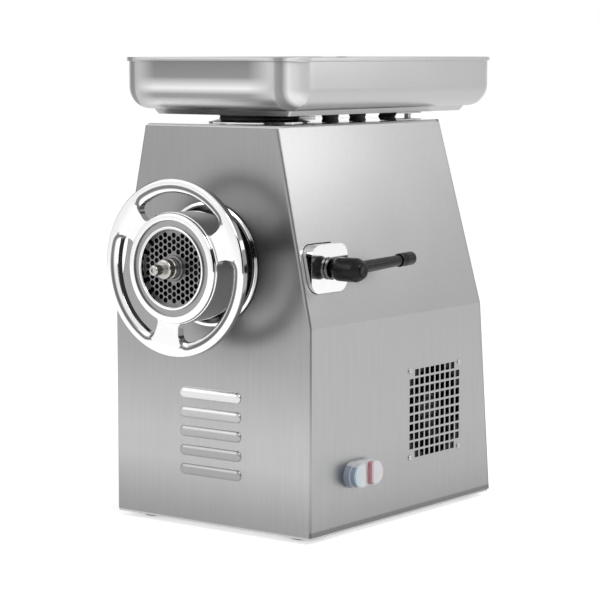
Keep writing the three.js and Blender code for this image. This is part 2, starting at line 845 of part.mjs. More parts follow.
function makeBarrel() {
  const seatRadius = plateSeatRadius;
  const journalHole = bushRadius + touchGap;
  const barrel = turnedY([
    [seatRadius, barrelFrontY],
    [threadRadius, barrelFrontY],
    [threadRadius, threadEndY],
    [barrelRadius, threadEndY],
    [barrelRadius, barrelRearY],
    [journalHole, barrelRearY],
    [journalHole, barrelBackWallY],
    [barrelBoreRadius, barrelBackWallY],
    [barrelBoreRadius, barrelFrontY + plateSeatDepth],
    [seatRadius, barrelFrontY + plateSeatDepth],
    [seatRadius, barrelFrontY],
  ], 0, headAxisZ, bigRound);
  return barrel.subtract(rodZ(portRadius, headAxisZ, headAxisZ + housingRadius, 0, portCentreY));
}

function makeAugerBush() {
  return turnedY(ring(augerJournalRadius + slideGap, bushRadius, barrelBackWallY, barrelRearY), 0, headAxisZ);
}

function makeFlight(startY, endY) {
  const turns = (endY - startY) / augerPitch;
  const steps = Math.round(turns * flightFacets);
  const rings = [];
  for (let i = 0; i <= steps; i += 1) {
    const turn = 2 * Math.PI * turns * i / steps;
    const y = startY + (endY - startY) * i / steps;
    const core = augerCoreFront - flightBury;
    const at = (r, dy) => new THREE.Vector3(r * Math.cos(turn), y + dy, headAxisZ + r * Math.sin(turn));
    rings.push([
      at(core, -flightRootWidth / 2),
      at(augerFlightRadius, -flightTipWidth / 2),
      at(augerFlightRadius, flightTipWidth / 2),
      at(core, flightRootWidth / 2),
    ]);
  }
  return loft(rings);
}

function makeAuger() {
  const rearFace = barrelBackWallY - touchGap;
  let auger = turnedY([
    [0, augerFrontY],
    [augerCoreFront, augerFrontY],
    [augerCoreRear, rearFace],
    [augerJournalRadius, rearFace],
    [augerJournalRadius, barrelRearY],
    [0, barrelRearY],
  ], 0, headAxisZ, smallRound);
  auger = auger.add(makeFlight(augerFrontY + flightRootWidth / 2, rearFace - flightRootWidth / 2));
  const tang = tangWidth / 2;
  auger = auger.add(block(
    -tang, tang, barrelRearY - overrun, barrelRearY + tangLength, headAxisZ - tang, headAxisZ + tang));
  const holeRadius = studRootRadius + touchGap;
  const holeEnd = augerFrontY + studRootLength;
  return auger.subtract(rodY(holeRadius, augerFrontY - overrun, holeEnd, 0, headAxisZ, smallRound));
}

function makeAugerStud() {
  const shoulder = knifeFrontY - touchGap / 2;
  const journal = turnedY([
    [0, studFrontY],
    [studTipRadius - studTipRound, studFrontY],
    [studTipRadius, studFrontY + studTipRound],
    [studTipRadius, studShoulderY],
    [studJournalRadius - studChamfer, studShoulderY],
    [studJournalRadius, studShoulderY + studChamfer],
    [studJournalRadius, shoulder],
    [0, shoulder],
  ], 0, headAxisZ, smallRound);
  const half = studSquare / 2;
  const squareEnd = augerFrontY - touchGap;
  const square = block(-half, half, shoulder - overrun, squareEnd, headAxisZ - half, headAxisZ + half);
  const root = rodY(studRootRadius, shoulder, augerFrontY + studRootLength - overrun, 0, headAxisZ, smallRound);
  return journal.add(square).add(root);
}

function makeKnife() {
  const points = [];
  for (let blade = 0; blade < knifeBlades; blade += 1) {
    const angle = 2 * Math.PI * blade / knifeBlades;
    const turn = new THREE.Vector2(Math.cos(angle), Math.sin(angle));
    const place = (u, v) => points.push([u * turn.x - v * turn.y, headAxisZ + u * turn.y + v * turn.x]);
    place(knifeHubRadius, -knifeTipWidth / 2);
    place(knifeRadius, -knifeTipWidth / 2 - knifeSweep);
    place(knifeRadius, knifeTipWidth / 2 - knifeSweep);
    place(knifeHubRadius, knifeTipWidth / 2);
  }
  const shape = polygon(points);
  const knife = extrudedY(shape, knifeFrontY, knifeFrontY + knifeThickness);
  const rim = rodY(knifeRadius, knifeFrontY - overrun, augerFrontY, 0, headAxisZ);
  const half = studSquare / 2 + touchGap;
  const socket = block(-half, half, knifeFrontY - overrun, augerFrontY, headAxisZ - half, headAxisZ + half);
  return knife.intersect(rim).subtract(socket);
}

// Cutting plate: holes on a triangular grid with upright columns
function plateHolePlaces() {
  const places = [];
  const columnPitch = plateHolePitch * Math.cos(Math.PI / 6);
  const reach = Math.ceil(plateFieldRadius / columnPitch);
  const inner = plateHubRadius + plateHoleRadius;
  for (let column = -reach; column <= reach; column += 1) {
    for (let row = -reach; row <= reach; row += 1) {
      const x = column * columnPitch;
      const z = (row + (column % 2 === 0 ? 0 : 0.5)) * plateHolePitch;
      const away = Math.hypot(x, z);
      if (away > inner && away < plateFieldRadius && Math.abs(z) < plateFieldHeight) {
        places.push([x, z]);
      }
    }
  }
  return places;
}
function makeCuttingPlate() {
  const shape = new THREE.Shape();
  shape.absarc(0, headAxisZ, plateRadius, 0, 2 * Math.PI);
  for (const [x, z] of plateHolePlaces()) {
    const hole = new THREE.Path();
    for (let i = 0; i < plateHoleSides; i += 1) {
      const turn = 2 * Math.PI * i / plateHoleSides;
      const place = [x + plateHoleRadius * Math.cos(turn), headAxisZ + z + plateHoleRadius * Math.sin(turn)];
      if (i === 0) {
        hole.moveTo(...place);
      } else {
        hole.lineTo(...place);
      }
    }
    hole.closePath();
    shape.holes.push(hole);
  }
  const disc = extrudedY(shape, plateFrontY, plateFrontY + plateThickness, bigRound);
  const hubY = plateFrontY - plateHubProud;
  const hub = rodY(plateHubRadius, hubY, plateFrontY + plateThickness / 2, 0, headAxisZ, smallRound);
  const boreRadius = studJournalRadius + slideGap;
  return disc.add(hub).subtract(rodY(boreRadius, hubY - overrun, knifeFrontY, 0, headAxisZ, smallRound));
}

function slotShape(centreAngle) {
  const inner = nutHubRadius + slotHubGap;
  const outer = nutRimInner - slotRimGap;
  const spokeHalf = Math.asin(spokeWidth / (inner + outer));
  const reach = Math.PI / spokeCount - spokeHalf;
  const start = centreAngle - reach;
  const end = centreAngle + reach;
  const outerTurn = Math.asin(slotCorner / (outer - slotCorner));
  const innerTurn = Math.asin(slotCorner / (inner + slotCorner));
  const shape = new THREE.Shape();
  const corner = (radius, angle, from, to) => shape.absarc(
    radius * Math.cos(angle), headAxisZ + radius * Math.sin(angle), slotCorner, from, to, false);
  const quarter = Math.PI / 2;
  shape.absarc(0, headAxisZ, outer, start + outerTurn, end - outerTurn, false);
  corner(outer - slotCorner, end - outerTurn, end - outerTurn, end + quarter);
  corner(inner + slotCorner, end - innerTurn, end + quarter, end - innerTurn + Math.PI);
  shape.absarc(0, headAxisZ, inner, end - innerTurn, start + innerTurn, true);
  corner(inner + slotCorner, start + innerTurn, start + innerTurn + Math.PI, start + 3 * quarter);
  corner(outer - slotCorner, start + outerTurn, start + 3 * quarter, start + outerTurn + 2 * Math.PI);
  shape.closePath();
  return shape;
}
function slotAngles() {
  const half = 180 / spokeCount;
  const slots = Array.from({ length: spokeCount }, (_, i) => firstSpokeAngle + half + 2 * half * i);
  return slots.map((degrees) => THREE.MathUtils.degToRad(degrees));
}
function makeRingNut() {
  const rimBackY = nutRimFrontY + nutRimThickness;
  const webFrontY = nutRimFrontY + nutWebSetback;
  const webBackY = webFrontY + nutWebThickness;
  const seatY = plateFrontY - touchGap;
  const skirtBore = threadRadius + slideGap;
  let nut = turnedY([
    [nutLipRadius, nutHubFrontY + nutSmallEdge],
    [nutLipRadius + nutSmallEdge, nutHubFrontY],
    [nutGrooveInner, nutHubFrontY],
    [nutGrooveInner, nutHubFrontY + nutGrooveDepth],
    [nutGrooveOuter, nutHubFrontY + nutGrooveDepth],
    [nutGrooveOuter, nutHubFrontY],
    [nutHubRadius - nutEdge, nutHubFrontY],
    [nutHubRadius, nutHubFrontY + nutEdge],
    [nutHubRadius, webFrontY],
    [nutRimInner, webFrontY],
    [nutRimInner, nutRimFrontY],
    [nutRadius - nutEdge, nutRimFrontY],
    [nutRadius, nutRimFrontY + nutEdge],
    [nutRadius, rimBackY - nutEdge],
    [nutRadius - nutEdge, rimBackY],
    [nutRimInner, rimBackY],
    [nutRimInner, webBackY],
    [nutHubRadius, webBackY],
    [nutHubRadius, nutSkirtEndY],
    [skirtBore, nutSkirtEndY],
    [skirtBore, seatY],
    [nutLipRadius, seatY],
    [nutLipRadius, nutHubFrontY + nutSmallEdge],
  ], 0, headAxisZ, bigRound);
  for (const angle of slotAngles()) {
    nut = nut.subtract(extrudedY(slotShape(angle), nutRimFrontY - overrun, rimBackY + overrun, slotFacets));
  }
  return nut;
}

// Clamp
const clampCollarX = clampBlockFace + touchGap;
const padInnerX = barrelRadius + slideGap;
const padOuterX = padInnerX + clampPadThickness;
function makeClampBlock() {
  const body = extrudedX(clampOutline(0), barrelRadius, clampBlockFace);
  const saddle = rodY(housingRadius + touchGap, -overrun, cabinetDepth, 0, headAxisZ, bigRound);
  const holeRadius = clampScrewRadius + touchGap;
  const screwHole = rodX(holeRadius, 0, clampBlockFace + overrun, clampY, headAxisZ, smallRound);
  return body.subtract(saddle).subtract(screwHole);
}
function makeClampPad() {
  return rodX(clampScrewRadius, padInnerX, padOuterX, clampY, headAxisZ, smallRound);
}
function makeClampScrew() {
  return turnedX([
    [0, padOuterX + touchGap],
    [clampScrewRadius, padOuterX + touchGap],
    [clampScrewRadius, clampCollarX],
    [clampCollarRadius - clampCollarEdge, clampCollarX],
    [clampCollarRadius, clampCollarX + clampCollarEdge],
    [clampCollarRadius, clampCollarX + clampCollarThickness],
    [clampScrewRadius, clampCollarX + clampCollarThickness],
    [clampScrewRadius, leverArmX],
    [0, leverArmX],
  ], clampY, headAxisZ, smallRound);
}

// The arm is made along +Y from the screw axis, then lifted by its small angle
function aimLever(solid) {
  return solid.rotate([leverArmLift, 0, 0]).translate([leverArmX, clampY, headAxisZ]);
}
const leverArmEnd = leverReach - leverCapLength + leverCapOverlap;
function makeClampLever() {
  let hub = turnedX([
    [0, hubStart],
    [hubNeckRadius, hubStart],
    [hubRadius, hubStart + hubShoulderLength],
    [hubRadius, hubEnd - hubTaperLength],
    [hubFaceRadius, hubEnd],
    [0, hubEnd],
  ], clampY, headAxisZ, smallRound);
  const capFoot = leverReach - leverCapLength;
  const arm = turnedY([
    [0, 0],
    [leverArmRootRadius, 0],
    [leverArmTipRadius, capFoot],
    [leverSpigotRadius, capFoot],
    [leverSpigotRadius, leverArmEnd],
    [0, leverArmEnd],
  ], 0, 0, smallRound);
  hub = hub.add(aimLever(arm));
  const socket = (radius, x0, x1) => rodX(radius, x0, x1, clampY, headAxisZ, smallRound);
  return hub
    .subtract(socket(clampScrewRadius + touchGap, hubStart - overrun, leverArmX + touchGap))
    .subtract(socket(hubFaceRadius - hubFaceWall, hubEnd - hubPlugDepth, hubEnd + overrun));
}
function makeLeverHubPlug() {
  const radius = hubFaceRadius - hubFaceWall - touchGap;
  return turnedX([
    [0, hubEnd - hubPlugDepth + touchGap],
    [radius, hubEnd - hubPlugDepth + touchGap],
    [radius, hubEnd],
    [radius - hubPlugProud, hubEnd + hubPlugProud],
    [0, hubEnd + hubPlugProud],
  ], clampY, headAxisZ, smallRound);
}
function makeLeverEndCap() {
  const foot = leverReach - leverCapLength + touchGap;
  const cap = turnedY([
    [leverSpigotRadius + touchGap, foot],
    [leverCapRadius, foot],
    [leverCapRadius, leverReach - leverCapRound],
    [leverCapRadius - leverCapRound, leverReach],
    [0, leverReach],
    [0, leverArmEnd + touchGap],
    [leverSpigotRadius + touchGap, leverArmEnd + touchGap],
    [leverSpigotRadius + touchGap, foot],
  ], 0, 0, smallRound);
  return aimLever(cap);
}

// Twin push button
const bezelX = halfWidth + touchGap;
const bezelFaceX = bezelX + bezelThickness;
// Outline of one half of the plate beside the valley, set in all round
function halfOutline(side, inset) {
  const radius = buttonPlateHeight / 2 - bootMargin - inset;
  const corner = buttonCorner - inset;
  const cornerU = buttonValley / 2 + buttonCorner;
  const cornerV = radius - corner;
  const arcs = [
    [(buttonPlateLength - buttonPlateHeight) / 2, 0, radius, -Math.PI / 2, Math.PI, halfSteps],
    [cornerU, cornerV, corner, Math.PI / 2, Math.PI / 2, cornerSteps],
    [cornerU, -cornerV, corner, Math.PI, Math.PI / 2, cornerSteps],
  ];
  return arcs.flatMap(([u, v, size, start, sweep, steps]) =>
    Array.from({ length: steps + 1 }, (_, i) => {
      const turn = start + sweep * i / steps;
      return [side * (u + size * Math.cos(turn)), side * (v + size * Math.sin(turn))];
    }));
}
function buttonPlate(inset) {
  const height = buttonPlateHeight - 2 * inset;
  return roundedRect(buttonY, buttonZ, buttonPlateLength - 2 * inset, height, height / 2);
}
function buttonHalf(side, levels) {
  return loft(levels.map(([x, inset]) =>
    halfOutline(side, inset).map(([u, v]) => new THREE.Vector3(x, buttonY + u, buttonZ + v))));
}
function makeButtonHousing() {
  let housing = extrudedX(buttonPlate(bootThickness + touchGap), bezelX, bezelFaceX);
  for (const side of [-1, 1]) {
    housing = housing.subtract(buttonHalf(side, [
      [bezelX + buttonPocketFloor, bootThickness],
      [bezelFaceX + overrun, bootThickness],
    ]));
  }
  const sleeveEnd = halfWidth - buttonSleeveReach;
  const sleeveFace = bezelX + buttonPocketFloor / 2;
  housing = housing.add(rodX(buttonSleeveRadius, sleeveEnd, sleeveFace, buttonY, buttonZ, smallRound));
  const length = contactBlockLength / 2;
  const height = contactBlockHeight / 2;
  return housing.add(block(
    sleeveEnd - contactBlockDepth, sleeveEnd + overrun, buttonY - length, buttonY + length,
    buttonZ - height, buttonZ + height));
}
function makeButton(side) {
  const foot = bezelX + buttonPocketFloor + touchGap + buttonTravel;
  const face = bezelX + buttonProud;
  const inset = bootThickness + touchGap;
  return buttonHalf(side, [[foot, inset], [face - bootEdge, inset], [face, inset + bootEdge]]);
}
function bootForm(shrink, start) {
  let form = extrudedX(buttonPlate(shrink), start, bezelFaceX + bootSkirt - shrink);
  for (const side of [-1, 1]) {
    const top = bezelX + bootProud - shrink;
    form = form.add(buttonHalf(side, [[start, shrink], [top - bootEdge, shrink], [top, shrink + bootEdge]]));
  }
  return form;
}
function makeButtonBoot() {
  return bootForm(0, bezelX).subtract(bootForm(bootThickness, bezelX - overrun));
}

// Duct, seal and tray supports
function makeFeedDuct() {
  const foot = headAxisZ + portBossHeight + touchGap;
  const seat = cabinetHeight + touchGap;
  return turnedZ([
    [ductBoreRadius, foot],
    [ductRadius, foot],
    [ductRadius, seat],
    [collarRadius, seat],
    [collarRadius, seat + collarLip],
    [collarInnerRadius, seat + collarRise],
    [ductBoreRadius, seat + collarRise],
    [ductBoreRadius, foot],
  ], 0, portCentreY);
}
function makeThroatSeal() {
  const seat = cabinetHeight + collarRise + 2 * touchGap;
  return turnedZ(ring(ductBoreRadius, sealRadius, seat, trayBottomZ - touchGap), 0, portCentreY);
}
function makeBuffer(x, y) {
  const foot = cabinetHeight + touchGap;
  const top = foot + traySupportHeight;
  return turnedZ([
    [0, foot],
    [bufferRadius, foot],
    [bufferRadius, top - bufferEdge],
    [bufferRadius - bufferEdge, top],
    [0, top],
  ], x, y, smallRound);
}
function makeBracket(x) {
  const foot = cabinetHeight + touchGap;
  const top = foot + traySupportHeight;
  const rear = bracketFrontY + bracketLength;
  const bend = traySupportHeight / 2;
  const profile = polygon([
    [rear, foot],
    [rear, foot + bracketSheet],
    [bracketFrontY + bend, foot + bracketSheet],
    [bracketFrontY + bracketSheet, foot + bend],
    [bracketFrontY + bend, top - bracketSheet],
    [rear, top - bracketSheet],
    [rear, top],
    [bracketFrontY + bend, top],
    [bracketFrontY, foot + bend],
    [bracketFrontY + bend, foot],
  ]);
  const leaf = extrudedX(profile, x - bracketWidth / 2, x + bracketWidth / 2);
  const bury = bracketSheet / 2;
  const stud = rodZ(bracketStudRadius, foot + bury, top - bury, x, bracketStudY, tinyRound);
  return leaf.add(stud);
}

// Tray: rounded rectangles stacked from the stepped bottom up the wall, over the rim and down inside
function trayRing(offset, z) {
  const corner = Math.max(trayCorner + offset, trayMinimumCorner);
  const right = trayHalfWidth + offset - corner;
  const front = trayFrontY - offset + corner;
  const rear = trayRearY + offset - corner;
  const centres = [[right, front, -1], [right, rear, 0], [-right, rear, 1], [-right, front, 2]];
  return centres.flatMap(([x, y, quarter]) => {
    const points = [];
    for (let i = 0; i <= cornerFacets; i += 1) {
      const turn = Math.PI / 2 * (quarter + i / cornerFacets);
      points.push(new THREE.Vector3(x + corner * Math.cos(turn), y + corner * Math.sin(turn), z));
    }
    return points;
  });
}
function bottomCurve(radius, centreOffset, centreZ) {
  const rings = [];
  for (let i = 0; i <= cornerFacets; i += 1) {
    const turn = Math.PI / 2 * i / cornerFacets;
    rings.push([centreOffset + radius * Math.sin(turn), centreZ - radius * Math.cos(turn)]);
  }
  return rings;
}
function trayLevels() {
  const shelfZ = trayBottomZ + trayStep;
  const curveZ = shelfZ + trayBottomRadius;
  const rimFootZ = trayTopZ - trayRimHeight;
  const shelf = -trayBottomRadius - trayStepShelf;
  const outer = [
    [shelf - trayStepRun, trayBottomZ],
    [shelf, shelfZ],
    ...bottomCurve(trayBottomRadius, -trayBottomRadius, curveZ),
    [0, rimFootZ],
  ];
  const rim = [
    [trayRimProud, rimFootZ],
    [trayRimProud, trayTopZ - trayRimRound],
    [trayRimProud - trayRimRound, trayTopZ],
    [-traySheet + trayRimRound, trayTopZ],
    [-traySheet, trayTopZ - trayRimRound],
  ];
  const inner = [
    ...bottomCurve(trayBottomRadius - traySheet, -trayBottomRadius, curveZ).reverse(),
    [shelf, shelfZ + traySheet],
    [shelf - trayStepRun, trayBottomZ + traySheet],
  ];
  return [...outer, ...rim, ...inner];
}
function makeTray() {
  let tray = loft(trayLevels().map(([offset, z]) => trayRing(offset, z)));
  const throatFoot = trayBottomZ - throatLength;
  tray = tray.add(rodZ(throatRadius, throatFoot, trayBottomZ + traySheet, 0, portCentreY));
  const floorZ = trayBottomZ + traySheet;
  return tray.subtract(rodZ(throatBoreRadius, throatFoot - overrun, floorZ + overrun, 0, portCentreY));
}

// Gears: straight-flanked teeth with working backlash; the tooth or gap at `facing` meets its mate
const toothShares = { pitchHalf: 0.205, addendum: 0.85, dedendum: 1.25, flankSlope: 0.364 };
function gearShape(teeth, module, facing, toothFaces) {
  const pitchRadius = module * teeth / 2;
  const pitchAngle = 2 * Math.PI / teeth;
  const half = toothShares.pitchHalf * Math.PI * module;
  const tipRadius = pitchRadius + toothShares.addendum * module;
  const rootRadius = pitchRadius - toothShares.dedendum * module;
  const tipHalf = (half - toothShares.flankSlope * toothShares.addendum * module) / tipRadius;
  const rootHalf = (half + toothShares.flankSlope * toothShares.dedendum * module) / rootRadius;
  const shape = [];
  for (let i = 0; i < teeth; i += 1) {
    const middle = facing + (i + (toothFaces ? 0 : 0.5)) * pitchAngle;
    const place = (radius, turn) => {
      const angle = middle + turn;
      shape.push([radius * Math.cos(angle), radius * Math.sin(angle)]);
    };
    place(rootRadius, -rootHalf);
    place(tipRadius, -tipHalf);
    place(tipRadius, tipHalf);
    place(rootRadius, rootHalf);
  }
  return shape;
}
function gear(teeth, module, facing, toothFaces, y0, y1, z) {
  const shape = polygon(gearShape(teeth, module, facing, toothFaces));
  return extrudedY(shape, y0, y1).translate([0, 0, z]);
}
const upwards = Math.PI / 2;
const downwards = -Math.PI / 2;
const fastGearY = gearboxFrontY + fastGearStart;
const slowGearY = gearboxFrontY + slowGearStart;

function makeMotorRotor() {
  const coreStart = motorFrontY + statorStart + slideGap;
  const rotor = turnedY([
    [0, motorFrontY + motorEndWall],
    [motorShaftRadius, motorFrontY + motorEndWall],
    [motorShaftRadius, coreStart],
    [rotorRadius, coreStart],
    [rotorRadius, coreStart + statorLength],
    [motorShaftRadius, coreStart + statorLength],
    [motorShaftRadius, fastGearY + fastGearWidth],
    [0, fastGearY + fastGearWidth],
  ], 0, motorZ);
  return rotor.add(gear(motorTeeth, fastModule, upwards, true, fastGearY, fastGearY + fastGearWidth, motorZ));
}
function makeIntermediateGear() {
  const wheelEnd = fastGearY + fastGearWidth;
  const wheel = gear(wheelTeeth, fastModule, downwards, false, fastGearY, wheelEnd, intermediateZ);
  const pinionEnd = slowGearY + slowGearWidth + pinionExtraWidth;
  const pinion = gear(pinionTeeth, slowModule, upwards, true, wheelEnd - overrun, pinionEnd, intermediateZ);
  const hubStartY = gearboxFrontY + gearboxFrontWall + touchGap;
  const hubEndY = gearboxCoverY - touchGap;
  const hub = rodY(intermediateHubRadius, hubStartY, hubEndY, 0, intermediateZ, smallRound);
  const boreRadius = intermediateAxleRadius + slideGap;
  const bore = rodY(boreRadius, hubStartY - overrun, hubEndY + overrun, 0, intermediateZ, smallRound);
  return wheel.add(pinion).add(hub).subtract(bore);
}
function makeOutputGear() {
  const end = slowGearY + slowGearWidth;
  const wheel = gear(outputTeeth, slowModule, downwards, false, slowGearY, end, headAxisZ);
  const boreRadius = outputShaftRadius + touchGap;
  return wheel.subtract(rodY(boreRadius, slowGearY - overrun, end + overrun, 0, headAxisZ));
}
function makeOutputShaft() {
  const start = barrelRearY + touchGap;
  const end = gearboxCoverY + gearboxCoverThickness - touchGap;
  const shaft = turnedY([
    [0, start],
    [outputShaftRadius, start],
    [outputShaftRadius, slowGearY + slowGearWidth],
    [outputShaftTail, slowGearY + slowGearWidth],
    [outputShaftTail, end],
    [0, end],
  ], 0, headAxisZ);
  const half = tangWidth / 2 + slideGap;
  const socketEnd = start + outputSocketDepth;
  return shaft.subtract(block(-half, half, start - overrun, socketEnd, headAxisZ - half, headAxisZ + half));
}

// The gearbox outline wraps the two shafts and the intermediate wheel
function hullOutline(circles) {
  const points = circles.flatMap(([z, radius]) => Array.from({ length: midRound }, (_, i) => {
    const turn = 2 * Math.PI * i / midRound;
    return [radius * Math.cos(turn), z + radius * Math.sin(turn)];
  }));
  points.sort((a, b) => a[0] - b[0] || a[1] - b[1]);
  const turnsLeft = (a, b, c) => (b[0] - a[0]) * (c[1] - a[1]) - (b[1] - a[1]) * (c[0] - a[0]) > 0;
  const chain = (list) => list.reduce((kept, point) => {
    while (kept.length > 1 && !turnsLeft(kept.at(-2), kept.at(-1), point)) {
      kept.pop();
    }
    return [...kept, point];
  }, []);
  const lower = chain(points).slice(0, -1);
  const upper = chain([...points].reverse()).slice(0, -1);
  return [...lower, ...upper];
}
function gearboxOutline(growth) {
  const tip = (teeth, module) => module * (teeth / 2 + 1) + gearClearance + growth;
  return polygon(hullOutline([
    [headAxisZ, tip(outputTeeth, slowModule)],
    [intermediateZ, tip(wheelTeeth, fastModule)],
    [motorZ, tip(motorTeeth, fastModule)],
  ]));
}
function makeGearboxBody() {
  const rear = gearboxFrontY + gearboxDepth;
  const floorY = gearboxFrontY + gearboxFrontWall;
  let body = extrudedY(gearboxOutline(gearWall), gearboxFrontY, rear);
  body = body.subtract(extrudedY(gearboxOutline(0), floorY, rear + overrun));
  const through = [gearboxFrontY - overrun, floorY + overrun];
  body = body.subtract(rodY(outputBearingRadius + touchGap, ...through, 0, headAxisZ));
  body = body.subtract(rodY(intermediateAxleRadius + touchGap, ...through, 0, intermediateZ, smallRound));
  return body.subtract(rodY(motorBearingRadius + touchGap, ...through, 0, motorZ));
}
function makeGearboxCover() {
  const rear = gearboxCoverY + gearboxCoverThickness;
  const through = [gearboxCoverY - overrun, rear + overrun];
  return extrudedY(gearboxOutline(gearWall), gearboxCoverY, rear)
    .subtract(rodY(rearBearingRadius + touchGap, ...through, 0, headAxisZ))
    .subtract(rodY(intermediateAxleRadius + touchGap, ...through, 0, intermediateZ, smallRound));
}
function makeIntermediateAxle() {
  const end = gearboxCoverY + gearboxCoverThickness;
  return rodY(intermediateAxleRadius, gearboxFrontY, end, 0, intermediateZ, smallRound);
}
function makePedestal() {
  const foot = basePlateThickness + touchGap;
  const saddleRadius = fastModule * (motorTeeth / 2 + 1) + gearClearance + gearWall;
  const inner = pedestalHalfWidth - pedestalLeg;
  const start = gearboxFrontY + gearboxFrontWall / 2;
  const profile = polygon([
    [-pedestalHalfWidth, foot],
    [-inner, foot],
    [-inner + pedestalLeg, motorZ - saddleRadius - pedestalFlange],
    [inner - pedestalLeg, motorZ - saddleRadius - pedestalFlange],
    [inner, foot],
    [pedestalHalfWidth, foot],
    [inner - pedestalFlange, motorZ],
    [-inner + pedestalFlange, motorZ],
  ]);
  const end = start + pedestalLength;
  const shell = extrudedY(gearboxOutline(gearWall + touchGap), start - overrun, end + overrun);
  return extrudedY(profile, start, end).subtract(shell);
}

// Motor
const motorRearY = gearboxFrontY - touchGap;
function makeMotorShell() {
  const inner = motorRadius - motorShellWall;
  const pocket = motorBearingRadius + touchGap;
  const pocketY = motorFrontY + motorEndWall + motorBearingWidth + touchGap;
  return turnedY([
    [0, motorFrontY],
    [motorRadius - motorShellWall, motorFrontY],
    [motorRadius, motorFrontY + motorShellWall],
    [motorRadius, motorRearY - motorFlangeThickness],
    [motorFlangeRadius, motorRearY - motorFlangeThickness],
    [motorFlangeRadius, motorRearY],
    [inner, motorRearY],
    [inner, motorFrontY + motorEndWall],
    [pocket + motorShellWall, motorFrontY + motorEndWall],
    [pocket + motorShellWall, pocketY],
    [pocket, pocketY],
    [pocket, motorFrontY + motorEndWall / 2],
    [0, motorFrontY + motorEndWall / 2],
  ], 0, motorZ);
}
function makeStator() {
  const outer = motorRadius - motorShellWall - touchGap;
  const start = motorFrontY + statorStart;
  return turnedY(ring(statorBoreRadius, outer, start, start + statorLength), 0, motorZ);
}

function makeControlBox() {
  const wallX = -halfWidth + slantSheet + touchGap;
  const middleY = controlFrontY + controlLength / 2;
  const middleZ = controlBottomZ + controlHeight / 2;
  const shell = (inset) => roundedRect(
    middleY, middleZ, controlLength - 2 * inset, controlHeight - 2 * inset, controlCorner - inset);
  return extrudedX(shell(0), wallX, wallX + controlDepth)
    .subtract(extrudedX(shell(controlWall), wallX - overrun, wallX + controlDepth - controlWall));
}

// Cabinet and its fittings
addPiece('casing', makeCasing(), brushedSteel);
addPiece('rear_cover', makeRearCover(), brushedSteel);
coverScrewPlaces().forEach((x, i) => addPiece(`rear_cover_screw_${i + 1}`, makeCoverScrew(x), plainSteel));
addPiece('cable_gland', makeCableGland(), blackPlastic);
addPiece('base_plate', makeBasePlate(), brushedSteel);
const footX = halfWidth - footInset;
const footRows = [footInset, cabinetDepth - footInset];
footRows.flatMap((y) => [-footX, footX].map((x) => [x, y]))
  .forEach(([x, y], i) => addPiece(`foot_${i + 1}`, makeFoot(x, y), blackRubber));
rivetPlaces().forEach(([y, z], i) => addPiece(`vent_rivet_${i + 1}`, makeRivet(y, z), plainSteel));
addPiece('fan_frame', makeFanFrame(), blackPlastic);
addPiece('fan_rotor', makeFanRotor(), blackPlastic);

// Grinding head
addPiece('front_trim_ring', makeTrimRing(), polishedSteel);
addPiece('head_housing', makeHeadHousing(), castMetal);
addPiece('barrel', makeBarrel(), polishedSteel);
addPiece('auger_bush', makeAugerBush(), bronze);
addPiece('auger', makeAuger(), polishedSteel);
addPiece('auger_stud', makeAugerStud(), plainSteel);
addPiece('knife', makeKnife(), plainSteel);
addPiece('cutting_plate', makeCuttingPlate(), plainSteel);
addPiece('ring_nut', makeRingNut(), polishedSteel);

// Clamp
addPiece('clamp_block', makeClampBlock(), polishedSteel);
addPiece('clamp_pad', makeClampPad(), bronze);
addPiece('clamp_screw', makeClampScrew(), polishedSteel);
addPiece('clamp_lever', makeClampLever(), blackPlastic);
addPiece('lever_hub_plug', makeLeverHubPlug(), greyPlastic);
addPiece('lever_end_cap', makeLeverEndCap(), blackPlastic);

// Push buttons
addPiece('button_housing', makeButtonHousing(), blackPlastic);
addPiece('start_button', makeButton(-1), bluePlastic);
addPiece('stop_button', makeButton(1), redPlastic);
addPiece('button_boot', makeButtonBoot(), clearSilicone);

// Feed duct, tray supports and tray
addPiece('feed_duct', makeFeedDuct(), polishedSteel);
addPiece('throat_seal', makeThroatSeal(), blackRubber);
[bufferFrontY, bufferRearY].flatMap((y) => [-bufferX, bufferX].map((x) => [x, y]))
  .forEach(([x, y], i) => addPiece(`tray_buffer_${i + 1}`, makeBuffer(x, y), blackRubber));
addPiece('tray_bracket_left', makeBracket(-bracketX), plainSteel);
addPiece('tray_bracket_right', makeBracket(bracketX), plainSteel);
addPiece('tray', makeTray(), traySteel);

// Gearbox
const gearboxRearY = gearboxCoverY + gearboxCoverThickness;
const sealRearY = gearboxFrontY + oilSealThickness;
const outputBearingY = sealRearY + touchGap;
const outputBearingEndY = outputBearingY + outputBearingWidth;
function ringPiece(name, inner, outer, y0, y1, z, makeMaterial) {
  addPiece(name, turnedY(ring(inner + slideGap, outer, y0, y1), 0, z), makeMaterial);
}
addPiece('gearbox_body', makeGearboxBody(), castMetal);
addPiece('gearbox_cover', makeGearboxCover(), castMetal);
ringPiece('output_oil_seal', outputShaftRadius, outputBearingRadius,
  gearboxFrontY, sealRearY, headAxisZ, blackRubber);
ringPiece('output_bearing_front', outputShaftRadius, outputBearingRadius,
  outputBearingY, outputBearingEndY, headAxisZ, plainSteel);
ringPiece('output_bearing_rear', outputShaftTail, rearBearingRadius,
  gearboxCoverY + touchGap, gearboxRearY, headAxisZ, plainSteel);
addPiece('output_shaft', makeOutputShaft(), plainSteel);
addPiece('output_gear', makeOutputGear(), plainSteel);
addPiece('intermediate_axle', makeIntermediateAxle(), plainSteel);
addPiece('intermediate_gear', makeIntermediateGear(), plainSteel);
addPiece('gearbox_pedestal', makePedestal(), castMetal);

